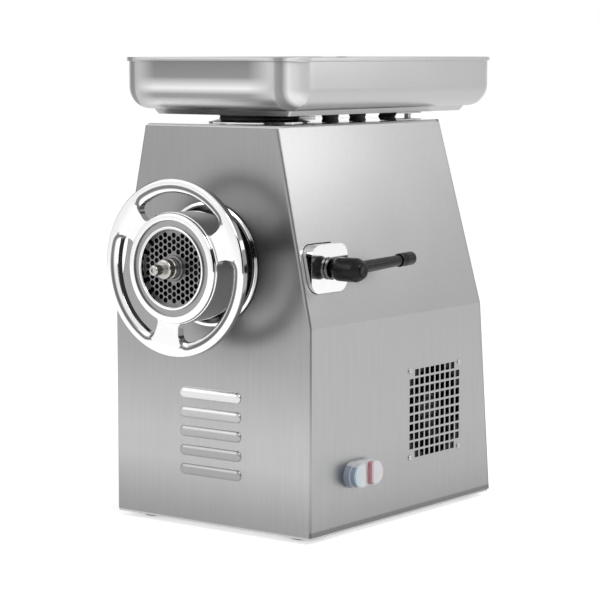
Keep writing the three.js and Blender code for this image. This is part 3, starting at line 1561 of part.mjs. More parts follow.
// Motor and control gear
const motorBearingY = motorFrontY + motorEndWall + touchGap;
addPiece('motor_shell', makeMotorShell(), motorPaint);
addPiece('stator', makeStator(), copperColour);
addPiece('motor_rotor', makeMotorRotor(), plainSteel);
ringPiece('motor_bearing_front', motorShaftRadius, motorBearingRadius,
  motorBearingY, motorBearingY + motorBearingWidth, motorZ, plainSteel);
ringPiece('motor_bearing_rear', motorShaftRadius, motorBearingRadius,
  gearboxFrontY, gearboxFrontY + gearboxFrontWall, motorZ, plainSteel);
addPiece('control_box', makeControlBox(), greyPlastic);

// The part's frame: centred over its own outline, standing on its feet
const rightReach = hubEnd + hubPlugProud;
const rearReach = trayRearY + trayRimProud;
assembly.position.set((halfWidth - rightReach) / 2, -(studFrontY + rearReach) / 2, footHeight);
assembly.updateMatrixWorld(true);

export default assembly;
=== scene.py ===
"""Electric meat grinder: the looks of its pieces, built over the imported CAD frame."""

import math

import bmesh
import bpy
from bpy.props import FloatProperty, FloatVectorProperty, IntProperty, PointerProperty
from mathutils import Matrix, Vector


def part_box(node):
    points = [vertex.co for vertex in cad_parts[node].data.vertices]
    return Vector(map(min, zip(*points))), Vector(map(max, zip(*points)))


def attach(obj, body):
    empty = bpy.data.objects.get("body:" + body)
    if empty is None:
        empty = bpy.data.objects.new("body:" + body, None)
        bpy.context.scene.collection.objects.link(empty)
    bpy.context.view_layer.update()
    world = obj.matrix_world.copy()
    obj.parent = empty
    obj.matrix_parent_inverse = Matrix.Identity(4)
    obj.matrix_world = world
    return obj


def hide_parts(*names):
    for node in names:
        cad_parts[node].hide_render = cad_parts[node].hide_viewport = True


bl_info = {
    "name": "Electric meat grinder",
    "version": (1, 0, 0),
    "blender": (4, 5, 0),
    "location": "3D View > Sidebar > Grinder",
    "description": "Builds the visible pieces of a bench meat grinder over its CAD frame",
    "category": "Object",
}

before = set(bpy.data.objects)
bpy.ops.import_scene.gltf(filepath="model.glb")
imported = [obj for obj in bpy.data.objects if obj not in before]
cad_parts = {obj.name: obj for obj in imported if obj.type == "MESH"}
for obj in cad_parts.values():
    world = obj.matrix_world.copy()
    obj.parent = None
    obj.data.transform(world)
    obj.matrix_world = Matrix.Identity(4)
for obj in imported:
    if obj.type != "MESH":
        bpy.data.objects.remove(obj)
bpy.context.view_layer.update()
MM = 0.001

# The cabinet's own axes: x from its middle, y back from its front face, z up from its lower edge
ORIGIN = Vector((
    sum(corner.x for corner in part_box("casing")) / 2,
    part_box("head_housing")[0].y,
    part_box("base_plate")[0].z,
))
AXIS_Z = 308.2 * MM
MERGE = 0.002 * MM
GAP = 0.3 * MM
TOUCH = 0.1 * MM
SOFT_ANGLE = 35
ROUND = 96
MEDIUM_ROUND = 64
SMALL_ROUND = 40


# Modelling helpers
def deselect():
    for item in bpy.context.selected_objects:
        item.select_set(False)


def only(piece):
    deselect()
    piece.select_set(True)
    bpy.context.view_layer.objects.active = piece


def edit(piece):
    only(piece)
    bpy.ops.object.mode_set(mode="EDIT")
    bpy.context.tool_settings.mesh_select_mode = (False, False, True)


def leave_edit():
    bpy.ops.object.mode_set(mode="OBJECT")


def named(name):
    piece = bpy.context.object
    piece.name = name
    piece.data.name = name
    return piece


def pick_faces(piece, test):
    bpy.context.tool_settings.mesh_select_mode = (False, False, True)
    bpy.ops.mesh.select_all(action="DESELECT")
    shape = bmesh.from_edit_mesh(piece.data)
    for face in shape.faces:
        if test(face.calc_center_median(), face.normal):
            face.select_set(True)
    bmesh.update_edit_mesh(piece.data)


def pick_edges(piece, test):
    bpy.context.tool_settings.mesh_select_mode = (False, True, False)
    bpy.ops.mesh.select_all(action="DESELECT")
    shape = bmesh.from_edit_mesh(piece.data)
    for line in shape.edges:
        if test(line.verts[0].co, line.verts[1].co):
            line.select_set(True)
    bmesh.update_edit_mesh(piece.data)


def apply(piece, modifier):
    only(piece)
    bpy.ops.object.modifier_apply(modifier=modifier.name)


def bevel(piece, width, segments=3, angle=30):
    modifier = piece.modifiers.new("edges", "BEVEL")
    modifier.width = width
    modifier.segments = segments
    modifier.limit_method = "ANGLE"
    modifier.angle_limit = math.radians(angle)
    apply(piece, modifier)


def boolean(piece, other, operation, solver="EXACT"):
    modifier = piece.modifiers.new("join", "BOOLEAN")
    modifier.operation = operation
    modifier.solver = solver
    modifier.object = other
    apply(piece, modifier)
    bpy.data.objects.remove(other, do_unlink=True)


def cut(piece, other, solver="EXACT"):
    boolean(piece, other, "DIFFERENCE", solver)


def weld(piece, other):
    boolean(piece, other, "UNION")


def freeze(piece):
    only(piece)
    bpy.ops.object.transform_apply(location=True, rotation=True, scale=True)


def duplicate(piece, name, move=(0, 0, 0)):
    only(piece)
    bpy.ops.object.duplicate()
    twin = named(name)
    twin.location = Vector(move)
    freeze(twin)
    return twin


def together(pieces):
    deselect()
    for piece in pieces:
        piece.select_set(True)
    bpy.context.view_layer.objects.active = pieces[0]
    bpy.ops.object.join()
    return bpy.context.object


# Turns local +Z to the axis that a piece is turned about, and says which two coordinates the centre gives
TURNS = {"X": (0, math.pi / 2, 0), "Y": (-math.pi / 2, 0, 0), "Z": (0, 0, 0)}


def place(piece, axis, centre):
    piece.rotation_euler = TURNS[axis]
    piece.location = ORIGIN + Vector(centre)
    freeze(piece)
    return piece


def turned(name, profile, axis, centre, sides=MEDIUM_ROUND, closed=True):
    """A circle extruded and resized from one (radius, place) of the profile to the next."""
    deselect()
    radius, spot = profile[0]
    bpy.ops.mesh.primitive_circle_add(vertices=sides, radius=radius, location=(0, 0, 0))
    piece = named(name)
    bpy.ops.object.mode_set(mode="EDIT")
    bpy.context.tool_settings.mesh_select_mode = (False, True, False)
    bpy.ops.mesh.select_all(action="SELECT")
    bpy.ops.transform.translate(value=(0, 0, spot))
    rest = list(profile[1:])
    if closed:
        rest.append(profile[0])
    for next_radius, next_spot in rest:
        bpy.ops.mesh.extrude_region_move(
            TRANSFORM_OT_translate={"value": (0, 0, next_spot - spot)})
        grow = next_radius / radius
        bpy.ops.transform.resize(value=(grow, grow, 1), center_override=(0, 0, next_spot))
        radius, spot = next_radius, next_spot
    bpy.ops.mesh.select_all(action="SELECT")
    bpy.ops.mesh.remove_doubles(threshold=MERGE)
    if not closed:
        bpy.ops.mesh.fill_holes(sides=0)
    bpy.ops.mesh.select_all(action="SELECT")
    bpy.ops.mesh.normals_make_consistent(inside=False)
    leave_edit()
    return place(piece, axis, centre)


def arc(radius_at, spot_at, size, start, end, steps=6):
    """Profile points round a corner: 0 degrees points away from the axis, 90 along it."""
    points = []
    for i in range(steps + 1):
        turn = math.radians(start + (end - start) * i / steps)
        points.append((radius_at + size * math.cos(turn), spot_at + size * math.sin(turn)))
    return points


def bar(name, low, high):
    """A cube stretched between two corners, ready for shaping."""
    deselect()
    low, high = Vector(low), Vector(high)
    bpy.ops.mesh.primitive_cube_add(size=1, location=(low + high) / 2)
    piece = named(name)
    piece.scale = high - low
    freeze(piece)
    return piece


def lozenge(name, axis, start, end, centre, size, corner, segments=10):
    """A bar along an axis whose four long edges are rounded to a corner radius."""
    u, v = size[0] / 2, size[1] / 2
    piece = bar(name, (-u, -v, start), (u, v, end))
    edit(piece)
    pick_edges(piece, lambda a, b: abs(a.z - b.z) > abs(a.x - b.x) + abs(a.y - b.y))
    bpy.ops.mesh.bevel(offset=corner, segments=segments, affect="EDGES")
    bpy.ops.mesh.select_all(action="SELECT")
    bpy.ops.mesh.remove_doubles(threshold=MERGE)
    leave_edit()
    return place(piece, axis, centre)


def drawn(name, points, height):
    """A flat face whose outline is one vertex extruded from point to point."""
    deselect()
    bpy.ops.mesh.primitive_plane_add(size=MM, location=(0, 0, 0))
    piece = named(name)
    bpy.ops.object.mode_set(mode="EDIT")
    bpy.context.tool_settings.mesh_select_mode = (True, False, False)
    bpy.ops.mesh.select_all(action="SELECT")
    bpy.ops.mesh.merge(type="CENTER")
    bpy.ops.transform.translate(value=(points[0][0], points[0][1], height))
    for (x, y), (next_x, next_y) in zip(points, points[1:] + points[:1]):
        bpy.ops.mesh.extrude_region_move(
            TRANSFORM_OT_translate={"value": (next_x - x, next_y - y, 0)})
    bpy.ops.mesh.select_all(action="SELECT")
    bpy.ops.mesh.remove_doubles(threshold=MERGE)
    bpy.ops.mesh.select_all(action="SELECT")
    bpy.ops.mesh.edge_face_add()
    return piece


def second_finish(piece, finish, test):
    """Gives the faces that pass the test another finish."""
    piece.data.materials.append(finish)
    edit(piece)
    pick_faces(piece, test)
    piece.active_material_index = len(piece.data.materials) - 1
    bpy.ops.object.material_slot_assign()
    leave_edit()


def from_axis(point):
    """Distance of a point from the head's axis."""
    return math.hypot(point.x - ORIGIN.x, point.z - ORIGIN.z - AXIS_Z)


def copied(node, name):
    """A merged copy of a CAD node, for shapes that only need smooth shading or finer edges."""
    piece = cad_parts[node].copy()
    piece.data = piece.data.copy()
    bpy.context.scene.collection.objects.link(piece)
    piece.parent = None
    for key in [key for key in piece.keys() if key.startswith("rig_")]:
        del piece[key]
    piece.name = name
    piece.data.name = name
    piece.data.materials.clear()
    edit(piece)
    bpy.ops.mesh.select_all(action="SELECT")
    bpy.ops.mesh.remove_doubles(threshold=MERGE)
    leave_edit()
    return piece


def dress(piece, finish, slot, body, *nodes, angle=SOFT_ANGLE):
    """Shades a finished piece, gives it its material, hides the CAD nodes it stands for and hangs it on its
    body.
    """
    only(piece)
    bpy.ops.object.shade_smooth_by_angle(angle=math.radians(angle))
    level = piece.modifiers.new("level", "WEIGHTED_NORMAL")
    level.keep_sharp = True
    apply(piece, level)
    piece.data.materials.clear()
    piece.data.materials.append(finish)
    if nodes:
        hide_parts(*nodes)
    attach(piece, body)
    return piece


# Materials
def add(tree, kind, settings=None, inputs=None):
    made = tree.nodes.new("ShaderNode" + kind)
    for key, value in (settings or {}).items():
        setattr(made, key, value)
    for key, value in (inputs or {}).items():
        if isinstance(value, bpy.types.NodeSocket):
            tree.links.new(value, made.inputs[key])
        else:
            made.inputs[key].default_value = value
    return made


def new_finish(name):
    finish = bpy.data.materials.new(name)
    finish.use_nodes = True
    return finish, finish.node_tree, finish.node_tree.nodes["Principled BSDF"]


def spread(tree, value, low, high):
    """Maps a 0 to 1 texture onto a range."""
    return add(tree, "MapRange", None, {"Value": value, "To Min": low, "To Max": high}).outputs["Result"]


def noise(tree, vector, scale, detail=2.0, rough=0.5):
    return add(tree, "TexNoise", None, {
        "Vector": vector, "Scale": scale, "Detail": detail, "Roughness": rough}).outputs["Fac"]


def object_coords(tree, scale=(1, 1, 1), centre=(0, 0, 0)):
    coords = add(tree, "TexCoord").outputs["Object"]
    return add(tree, "Mapping", None, {
        "Vector": coords,
        "Scale": scale,
        "Location": tuple(-c * s for c, s in zip(centre, scale)),
    }).outputs["Vector"]


def tinted(tree, colour, amount, value):
    """The colour made lighter and darker by a texture."""
    low = tuple(c * (1 - amount) for c in colour[:3]) + (1,)
    high = tuple(min(1, c * (1 + amount)) for c in colour[:3]) + (1,)
    return add(tree, "Mix", {"data_type": "RGBA"}, {0: value, 6: low, 7: high}).outputs[2]


def metal_finish(name, colour, roughness, grain, grain_share, grain_depth, cloud_share, ring_centre=None):
    """Metal with a directional grain, soft clouds of wear and, on turned faces, fine rings."""
    finish, tree, shader = new_finish(name)
    lines = noise(tree, object_coords(tree, grain), 1.0, 4.0, 0.6)
    clouds = noise(tree, object_coords(tree), 9.0, 3.0, 0.55)
    both = add(tree, "Math", {"operation": "MULTIPLY_ADD"}, {0: clouds, 1: 0.5, 2: lines}).outputs[0]
    shader.inputs["Metallic"].default_value = 1.0
    tree.links.new(tinted(tree, colour, grain_share, both), shader.inputs["Base Color"])
    rough_clouds = spread(tree, clouds, roughness * (1 - cloud_share), roughness * (1 + cloud_share))
    tree.links.new(rough_clouds, shader.inputs["Roughness"])
    height = lines
    if ring_centre is not None:
        rings = add(tree, "TexWave", {"wave_type": "RINGS", "rings_direction": "Y"}, {
            "Vector": object_coords(tree, (1, 1, 1), ring_centre),
            "Scale": 260.0, "Distortion": 0.6, "Detail": 2.0, "Detail Scale": 2.0}).outputs["Fac"]
        height = add(tree, "Math", {"operation": "ADD"}, {0: lines, 1: rings}).outputs[0]
    bump = add(tree, "Bump", None, {"Strength": 1.0, "Distance": grain_depth, "Height": height})
    tree.links.new(bump.outputs["Normal"], shader.inputs["Normal"])
    return finish


def moulded_finish(name, colour, roughness, grain_size, grain_depth, tint=0.12, sheen=0.5):
    """Plastic, rubber or paint: a fine skin texture with soft variation in colour and gloss."""
    finish, tree, shader = new_finish(name)
    skin = noise(tree, object_coords(tree), 1 / grain_size, 3.0)
    clouds = noise(tree, object_coords(tree), 14.0, 2.0)
    shader.inputs["Specular IOR Level"].default_value = sheen
    tree.links.new(tinted(tree, colour, tint, clouds), shader.inputs["Base Color"])
    tree.links.new(spread(tree, skin, roughness * 0.85, roughness * 1.15), shader.inputs["Roughness"])
    bump = add(tree, "Bump", None, {"Strength": 1.0, "Distance": grain_depth, "Height": skin})
    tree.links.new(bump.outputs["Normal"], shader.inputs["Normal"])
    return finish


def toned(tree, colour, level, tones, share=1.0):
    """The colour times a tone of painted light and shade that changes softly with a 0 to 1 level."""
    ramp = add(tree, "ValToRGB", None, {"Fac": level})
    marks = ramp.color_ramp.elements
    while len(marks) < len(tones):
        marks.new(1.0)
    for mark, (spot, tone) in zip(marks, tones):
        mark.position = spot
        mark.color = (tone / BRIGHTEST, tone / BRIGHTEST, tone / BRIGHTEST, 1)
    lit = add(tree, "VectorMath", {"operation": "SCALE"}, {0: ramp.outputs["Color"], "Scale": BRIGHTEST})
    return add(tree, "Mix", {"data_type": "RGBA", "blend_type": "MULTIPLY"}, {
        0: share, 6: colour, 7: lit.outputs[0]}).outputs[2]


def retoned(finish, make):
    """Passes a finish's colour through a function of its node tree and the colour."""
    tree = finish.node_tree
    socket = tree.nodes["Principled BSDF"].inputs["Base Color"]
    tree.links.new(make(tree, socket.links[0].from_socket), socket)
    return finish


# The highest tone that a ramp can give, and the soft bands of painted light, shade and reflection put into
# each steel where the studio would leave them.
# A turned piece, by the lean of a face: -1 looks away from the axis, 1 towards it; painted reflections that
# darken its rounded edges
BRIGHTEST = 2.0
LEAN_PAINTED_REFLECTIONS = (
    (-1.0, 0.35), (-0.94, 0.4), (-0.8, 1.0), (0.06, 1.0), (0.09, 0.2), (0.26, 0.17),
    (0.4, 1.0), (0.85, 1.0), (0.97, 0.3),
)
# An upright corner, by how far a face has turned to the side: painted reflections on the tray's rounded
# corners
CORNER_PAINTED_REFLECTIONS = ((0.15, 0.45), (0.3, 0.3), (0.45, 0.27), (0.62, 0.75), (0.8, 0.7), (0.97, 0.5))
# Painted light and shade on the sheet by its height in metres: the front, lighter at the louvres' height and
# darker above and below; the two sides, with a painted shadow line at the foot and painted light growing to
# the top; the louvre hoods, with a painted highlight on the upper ones; and the tray's front, with painted
# reflection bands
FRONT_PAINTED_LIGHT = ((0.0, 0.74), (0.02, 0.8), (0.075, 1.12), (0.11, 1.12), (0.2, 0.85), (0.4, 0.74))
SIDE_PAINTED_LIGHT = ((0.0078, 0.45), (0.0086, 0.76), (0.04, 0.88), (0.1, 0.98), (0.25, 1.03), (0.47, 1.25))
LOUVRE_PAINTED_HIGHLIGHT = ((0.065, 0.85), (0.1, 0.92), (0.132, 1.2), (0.148, 1.7), (0.2, 1.9))
TRAY_PAINTED_REFLECTIONS = (
    (0.4912, 0.5), (0.4935, 1.5), (0.4985, 1.6), (0.507, 0.6), (0.5105, 0.6), (0.517, 1.6),
    (0.53, 0.5), (0.547, 0.4), (0.552, 1.1),
)
CABINET_REACH = (0.0, 0.5)
TRAY_REACH = (0.47, 0.57)
# The places across the tray where its painted reflection bands start and end, each from none to full
TRAY_REFLECTION_FADES = ((-0.125, -0.095), (0.078, 0.045))
# How far a face must look along an axis, from none to all of the painted band
BAND_FACING = (0.25, 0.6)


def paint_lean_reflections(finish, axis_place):
    """Darkens the rounded edges of a turned piece with painted reflections, in place of the grey surroundings
    that polished steel reflects.
    """
    def make(tree, colour):
        coords = add(tree, "TexCoord")
        away = add(tree, "VectorMath", {"operation": "SUBTRACT"}, {
            0: coords.outputs["Object"], 1: tuple(axis_place)}).outputs[0]
        flat = add(tree, "VectorMath", {"operation": "MULTIPLY"}, {0: away, 1: (-1, 0, -1)}).outputs[0]
        inward = add(tree, "VectorMath", {"operation": "NORMALIZE"}, {0: flat}).outputs[0]
        lean = add(tree, "VectorMath", {"operation": "DOT_PRODUCT"}, {
            0: inward, 1: coords.outputs["Normal"]}).outputs["Value"]
        level = add(tree, "MapRange", None, {"Value": lean, "From Min": -1.0, "From Max": 1.0})
        tones = [((spot + 1) / 2, tone) for spot, tone in LEAN_PAINTED_REFLECTIONS]
        return toned(tree, colour, level.outputs["Result"], tones)

    return retoned(finish, make)


def paint_corner_reflections(finish):
    """Lets an upright rounded corner change tone as it turns from one side to the next: painted reflections.
    """
    def make(tree, colour):
        facing = add(tree, "SeparateXYZ", None, {0: add(tree, "TexCoord").outputs["Normal"]})
        turn = add(tree, "Math", {"operation": "ABSOLUTE"}, {0: facing.outputs["X"]})
        return toned(tree, colour, turn.outputs[0], CORNER_PAINTED_REFLECTIONS)

    return retoned(finish, make)


def paint_light_bands(finish, base, reach, bands, fades=()):
    """Paints light, shade and reflections into a finish: its tone changes softly with height on the faces
    that look along an axis.
    """
    def make(tree, colour):
        low, high = reach
        coords = add(tree, "TexCoord")
        spot = add(tree, "SeparateXYZ", None, {0: coords.outputs["Object"]})
        facing = add(tree, "SeparateXYZ", None, {0: coords.outputs["Normal"]})
        level = add(tree, "MapRange", None, {
            "Value": spot.outputs["Z"], "From Min": base + low, "From Max": base + high})
        for axis, heights in bands:
            toward = add(tree, "Math", {"operation": "ABSOLUTE"}, {0: facing.outputs[axis]})
            share = add(tree, "MapRange", None, {
                "Value": toward.outputs[0], "From Min": BAND_FACING[0],
                "From Max": BAND_FACING[1]}).outputs["Result"]
            for none, full in fades:
                soft = add(tree, "MapRange", None, {
                    "Value": spot.outputs["X"], "From Min": none, "From Max": full})
                share = add(tree, "Math", {"operation": "MULTIPLY"}, {
                    0: share, 1: soft.outputs["Result"]}).outputs[0]
            tones = [((height - low) / (high - low), tone) for height, tone in heights]
            colour = toned(tree, colour, level.outputs["Result"], tones, share)
        return colour

    return retoned(finish, make)


# Grain of each kind of steel: features per metre along X, Y and Z
BRUSHED = (700, 700, 12)
SATIN = (500, 500, 300)
POLISHED = (90, 90, 90)
TURNED = (160, 160, 160)
FINISHES = {}


class GRINDER_PG_finishes(bpy.types.PropertyGroup):
    """Colours and gloss of the main finishes."""
    casing: FloatVectorProperty(
        name="Cabinet steel", description="Colour of the brushed cabinet sheet",
        subtype="COLOR", size=3, min=0, max=1, default=(0.36, 0.36, 0.36))
    casing_rough: FloatProperty(
        name="Cabinet roughness", description="Roughness of the brushed cabinet sheet",
        min=0, max=1, default=0.33)
    tray: FloatVectorProperty(
        name="Tray steel", description="Colour of the pressed tray",
        subtype="COLOR", size=3, min=0, max=1, default=(0.44, 0.44, 0.44))
    polished: FloatVectorProperty(
        name="Polished steel", description="Colour of the ring nut and clamp",
        subtype="COLOR", size=3, min=0, max=1, default=(0.82, 0.82, 0.82))
    lever: FloatVectorProperty(
        name="Lever plastic", description="Colour of the clamp lever",
        subtype="COLOR", size=3, min=0, max=1, default=(0.004, 0.004, 0.0045))


class GRINDER_OT_finishes(bpy.types.Operator):
    """Make the materials that the pieces share"""
    bl_idname = "grinder.finishes"
    bl_label = "Make finishes"

    def execute(self, context):
        looks = context.scene.grinder_finishes
        axis = ORIGIN + Vector((0, 0, AXIS_Z))
        FINISHES.update(
            # The cabinet sheet carries painted light and shade bands on its front and sides, with a painted
            # shadow line at the foot of the sides
            casing=paint_light_bands(metal_finish(
                "brushed_steel_painted_light", looks.casing, looks.casing_rough, BRUSHED, 0.10, 0.00002, 0.12),
                ORIGIN.z, CABINET_REACH, (("Y", FRONT_PAINTED_LIGHT), ("X", SIDE_PAINTED_LIGHT))),
            # The louvre hoods carry a painted highlight that grows on the upper hoods
            louvre=paint_light_bands(metal_finish(
                "pressed_steel_painted_highlight", looks.casing, looks.casing_rough, BRUSHED, 0.10, 0.00002, 0.12),
                ORIGIN.z, CABINET_REACH, (("Y", LOUVRE_PAINTED_HIGHLIGHT),)),
            # The tray's front carries painted reflection bands
            tray=paint_light_bands(metal_finish(
                "satin_tray_steel_painted_reflections", looks.tray, 0.33, SATIN, 0.05, 0.00001, 0.12),
                0, TRAY_REACH, (("Y", TRAY_PAINTED_REFLECTIONS),), TRAY_REFLECTION_FADES),
            # A brighter copy of the tray steel with painted reflections round its corners
            tray_corner=paint_corner_reflections(metal_finish(
                "satin_corner_steel_painted_reflections", (0.95, 0.95, 0.95), 0.55, SATIN, 0.05, 0.00001, 0.1)),
            # Painted light: a much brighter copy of the cabinet steel for the bent top edges in the tray's
            # shade
            bent_edge=metal_finish(
                "satin_edge_steel_painted_light", (0.9, 0.9, 0.9), 0.6, SATIN, 0.05, 0.00001, 0.1),
            # Painted light: a much brighter, mirror copy of the cabinet steel for the top faces in the tray's
            # shade
            top_sheet=metal_finish(
                "satin_top_sheet_painted_light", (0.9, 0.9, 0.9), 0.07, SATIN, 0.05, 0.000002, 0.05),
            polished=metal_finish(
                "polished_steel", looks.polished, 0.09, POLISHED, 0.05, 0.00001, 0.4, axis),
            # The ring nut's polished steel with painted reflections on its rounded edges
            nut=paint_lean_reflections(metal_finish(
                "polished_nut_steel_painted_reflections", looks.polished, 0.09, POLISHED, 0.05, 0.00001, 0.4, axis), axis),
            chrome=metal_finish(
                "chromed_steel", looks.polished, 0.05, POLISHED, 0.03, 0.000003, 0.3),
            groove=metal_finish(
                "groove_steel", (0.30, 0.30, 0.30), 0.35, POLISHED, 0.05, 0.00001, 0.3, axis),
            # Painted shade: dark steel for faces that stand in shade or show painted dark reflections
            shade=metal_finish(
                "painted_shade_steel", (0.10, 0.10, 0.10), 0.12, POLISHED, 0.1, 0.00001, 0.3, axis),
            turned=metal_finish(
                "turned_steel", (0.42, 0.41, 0.39), 0.24, TURNED, 0.15, 0.00003, 0.3, axis),
            plate=metal_finish(
                "plate_steel", (0.19, 0.19, 0.195), 0.3, TURNED, 0.15, 0.00003, 0.3, axis),
            plain=metal_finish(
                "plain_steel", (0.45, 0.45, 0.45), 0.38, (220, 220, 220), 0.12, 0.00003, 0.2),
            cast=metal_finish(
                "cast_metal", (0.40, 0.40, 0.39), 0.5, (450, 450, 450), 0.18, 0.00015, 0.15),
            winding=metal_finish(
                "winding_core", (0.55, 0.26, 0.13), 0.4, (60, 1400, 60), 0.3, 0.0001, 0.2),
            bronze=metal_finish(
                "bronze", (0.55, 0.36, 0.16), 0.35, (260, 260, 260), 0.12, 0.00003, 0.25),
            paint=moulded_finish("motor_paint", (0.11, 0.13, 0.16), 0.45, 0.0012, 0.00008),
            black=moulded_finish("black_plastic", looks.lever, 0.24, 0.0006, 0.00001, 0.3, 0.2),
            grey=moulded_finish("grey_plastic", (0.25, 0.26, 0.27), 0.45, 0.0008, 0.00004),
            rubber=moulded_finish("black_rubber", (0.018, 0.018, 0.019), 0.6, 0.0007, 0.00006, 0.3),
            blue=moulded_finish("blue_plastic", (0.03, 0.11, 0.27), 0.35, 0.0008, 0.00002),
            # Painted highlight: a pale copy of the blue for the start cap's lit front face
            blue_face=moulded_finish("blue_plastic_painted_highlight", (0.42, 0.68, 0.74), 0.35, 0.0008, 0.00002),
            red=moulded_finish("red_plastic", (0.52, 0.02, 0.05), 0.35, 0.0008, 0.00002),
            # Painted highlight: a pale copy of the red for the stop cap's lit front face
            red_face=moulded_finish("red_plastic_painted_highlight", (0.80, 0.62, 0.68), 0.35, 0.0008, 0.00002),
        )
        for key, name, alpha in (
                ("clear", "clear_silicone", 0.44), ("clear_wall", "clear_silicone_wall", 0.16)):
            finish, tree, shader = new_finish(name)
            skin = noise(tree, object_coords(tree), 600.0, 3.0)
            tree.links.new(spread(tree, skin, 0.18, 0.3), shader.inputs["Roughness"])
            tree.links.new(
                tinted(tree, (0.86, 0.88, 0.9), 0.05, skin), shader.inputs["Base Color"])
            shader.inputs["Alpha"].default_value = alpha
            shader.inputs["IOR"].default_value = 1.41
            FINISHES[key] = finish
        return {"FINISHED"}


# CAD nodes whose shape is shown as it is, by finish
KEPT = {
    "casing": ["casing", "rear_cover"],
    "plain": [
        "base_plate", "tray_bracket_left", "tray_bracket_right", "knife", "clamp_pad",
        "output_bearing_front", "output_bearing_rear", "output_shaft", "output_gear",
        "intermediate_axle", "intermediate_gear", "gearbox_pedestal", "motor_bearing_front",
        "motor_bearing_rear", "motor_rotor",
    ],
    "cast": ["gearbox_body", "gearbox_cover", "head_housing", "auger"],
    "bronze": ["auger_bush"],
    "paint": ["motor_shell"],
    "winding": ["stator"],
    "black": ["fan_frame", "fan_rotor", "cable_gland"],
    "grey": ["control_box"],
    "rubber": ["output_oil_seal"],
}


class GRINDER_OT_kept_nodes(bpy.types.Operator):
    """Give the CAD solids that are shown as they are their materials"""
    bl_idname = "grinder.kept_nodes"
    bl_label = "Finish kept solids"

    def execute(self, context):
        for finish, nodes in KEPT.items():
            for node in nodes:
                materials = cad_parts[node].data.materials
                materials.clear()
                materials.append(FINISHES[finish])
        return {"FINISHED"}


class GRINDER_PG_head(bpy.types.PropertyGroup):
    """Sizes of the grinding head."""
    nut_radius: FloatProperty(
        name="Ring nut radius", description="Outer radius of the ring nut's rim",
        unit="LENGTH", default=102.1 * MM)
    rim_inner: FloatProperty(
        name="Rim inner radius", description="Inner radius of the ring nut's rim",
        unit="LENGTH", default=91.1 * MM)
    spokes: IntProperty(
        name="Spokes", description="Number of spokes in the ring nut", min=2, default=3)
    spoke_width: FloatProperty(
        name="Spoke width", description="Width of one spoke", unit="LENGTH", default=33 * MM)
    hole_pitch: FloatProperty(
        name="Hole pitch", description="Distance between holes of the cutting plate",
        unit="LENGTH", default=7.5 * MM)
    hole_radius: FloatProperty(
        name="Hole radius", description="Radius of a hole in the cutting plate",
        unit="LENGTH", default=3.1 * MM)


NUT_RIM_FRONT = -65.8 * MM
NUT_RIM_BACK = -54.4 * MM
NUT_EDGE = 3.1 * MM
NUT_WEB_FRONT = -64.56 * MM
NUT_WEB_BACK = -55.26 * MM
NUT_HUB_RADIUS = 63.4 * MM
NUT_HUB_FRONT = -70 * MM
NUT_LIP_RADIUS = 44.4 * MM
NUT_GROOVE = (47.7 * MM, 54.9 * MM, 2.27 * MM)
NUT_SKIRT_END = -24.3 * MM
NUT_BORE = 57.5 * MM
FIRST_SPOKE = 22.5
SLOT_CORNER = 8.5 * MM
SLOT_INNER_CORNER = 5 * MM
SLOT_EDGE = 2 * MM
SLOT_ROUND = (10 * MM, 5.5 * MM)
SLOT_END_ROUND = 5 * MM
SLOT_INNER_GAP = 1.2 * MM
SLOT_OUTER_GAP = 5 * MM
PLATE_FRONT = -63.4 * MM
PLATE_BACK = -53.1 * MM
PLATE_RADIUS = 50 * MM
HOLE_FIELD = (42.2 * MM, 40.5 * MM)
HUB_RADIUS = 14.8 * MM
HUB_PROUD = 3.1 * MM
STUD_RADIUS = 11.5 * MM
HEAD_CENTRE = (0, 0, AXIS_Z)


def slot_outline(inner, outer, reach, inner_corner, outer_corner):
    """Points round a slot between two arcs, with round corners, symmetric about +X."""
    def corner(radius, size, side):
        lean = math.asin(size / radius)
        middle = reach - lean
        if side > 0:
            turns = (middle, reach + math.pi / 2)
        else:
            turns = (reach + math.pi / 2, middle + math.pi)
        centre = (radius * math.cos(middle), radius * math.sin(middle))
        return [
            (centre[0] + size * math.cos(turn), centre[1] + size * math.sin(turn))
            for turn in (turns[0] + (turns[1] - turns[0]) * i / 8 for i in range(9))]

    outer_rim = outer - outer_corner
    inner_rim = inner + inner_corner
    outer_start = reach - math.asin(outer_corner / outer_rim)
    inner_start = reach - math.asin(inner_corner / inner_rim)
    half = [
        (outer * math.cos(outer_start * i / 24), outer * math.sin(outer_start * i / 24))
        for i in range(24)]
    half += corner(outer_rim, outer_corner, 1) + corner(inner_rim, inner_corner, -1)
    half += [
        (inner * math.cos(inner_start * i / 18), inner * math.sin(inner_start * i / 18))
        for i in range(17, 0, -1)]
    mirrored = [(x, -y) for x, y in reversed(half[1:])]
    return half + [(inner, 0)] + mirrored


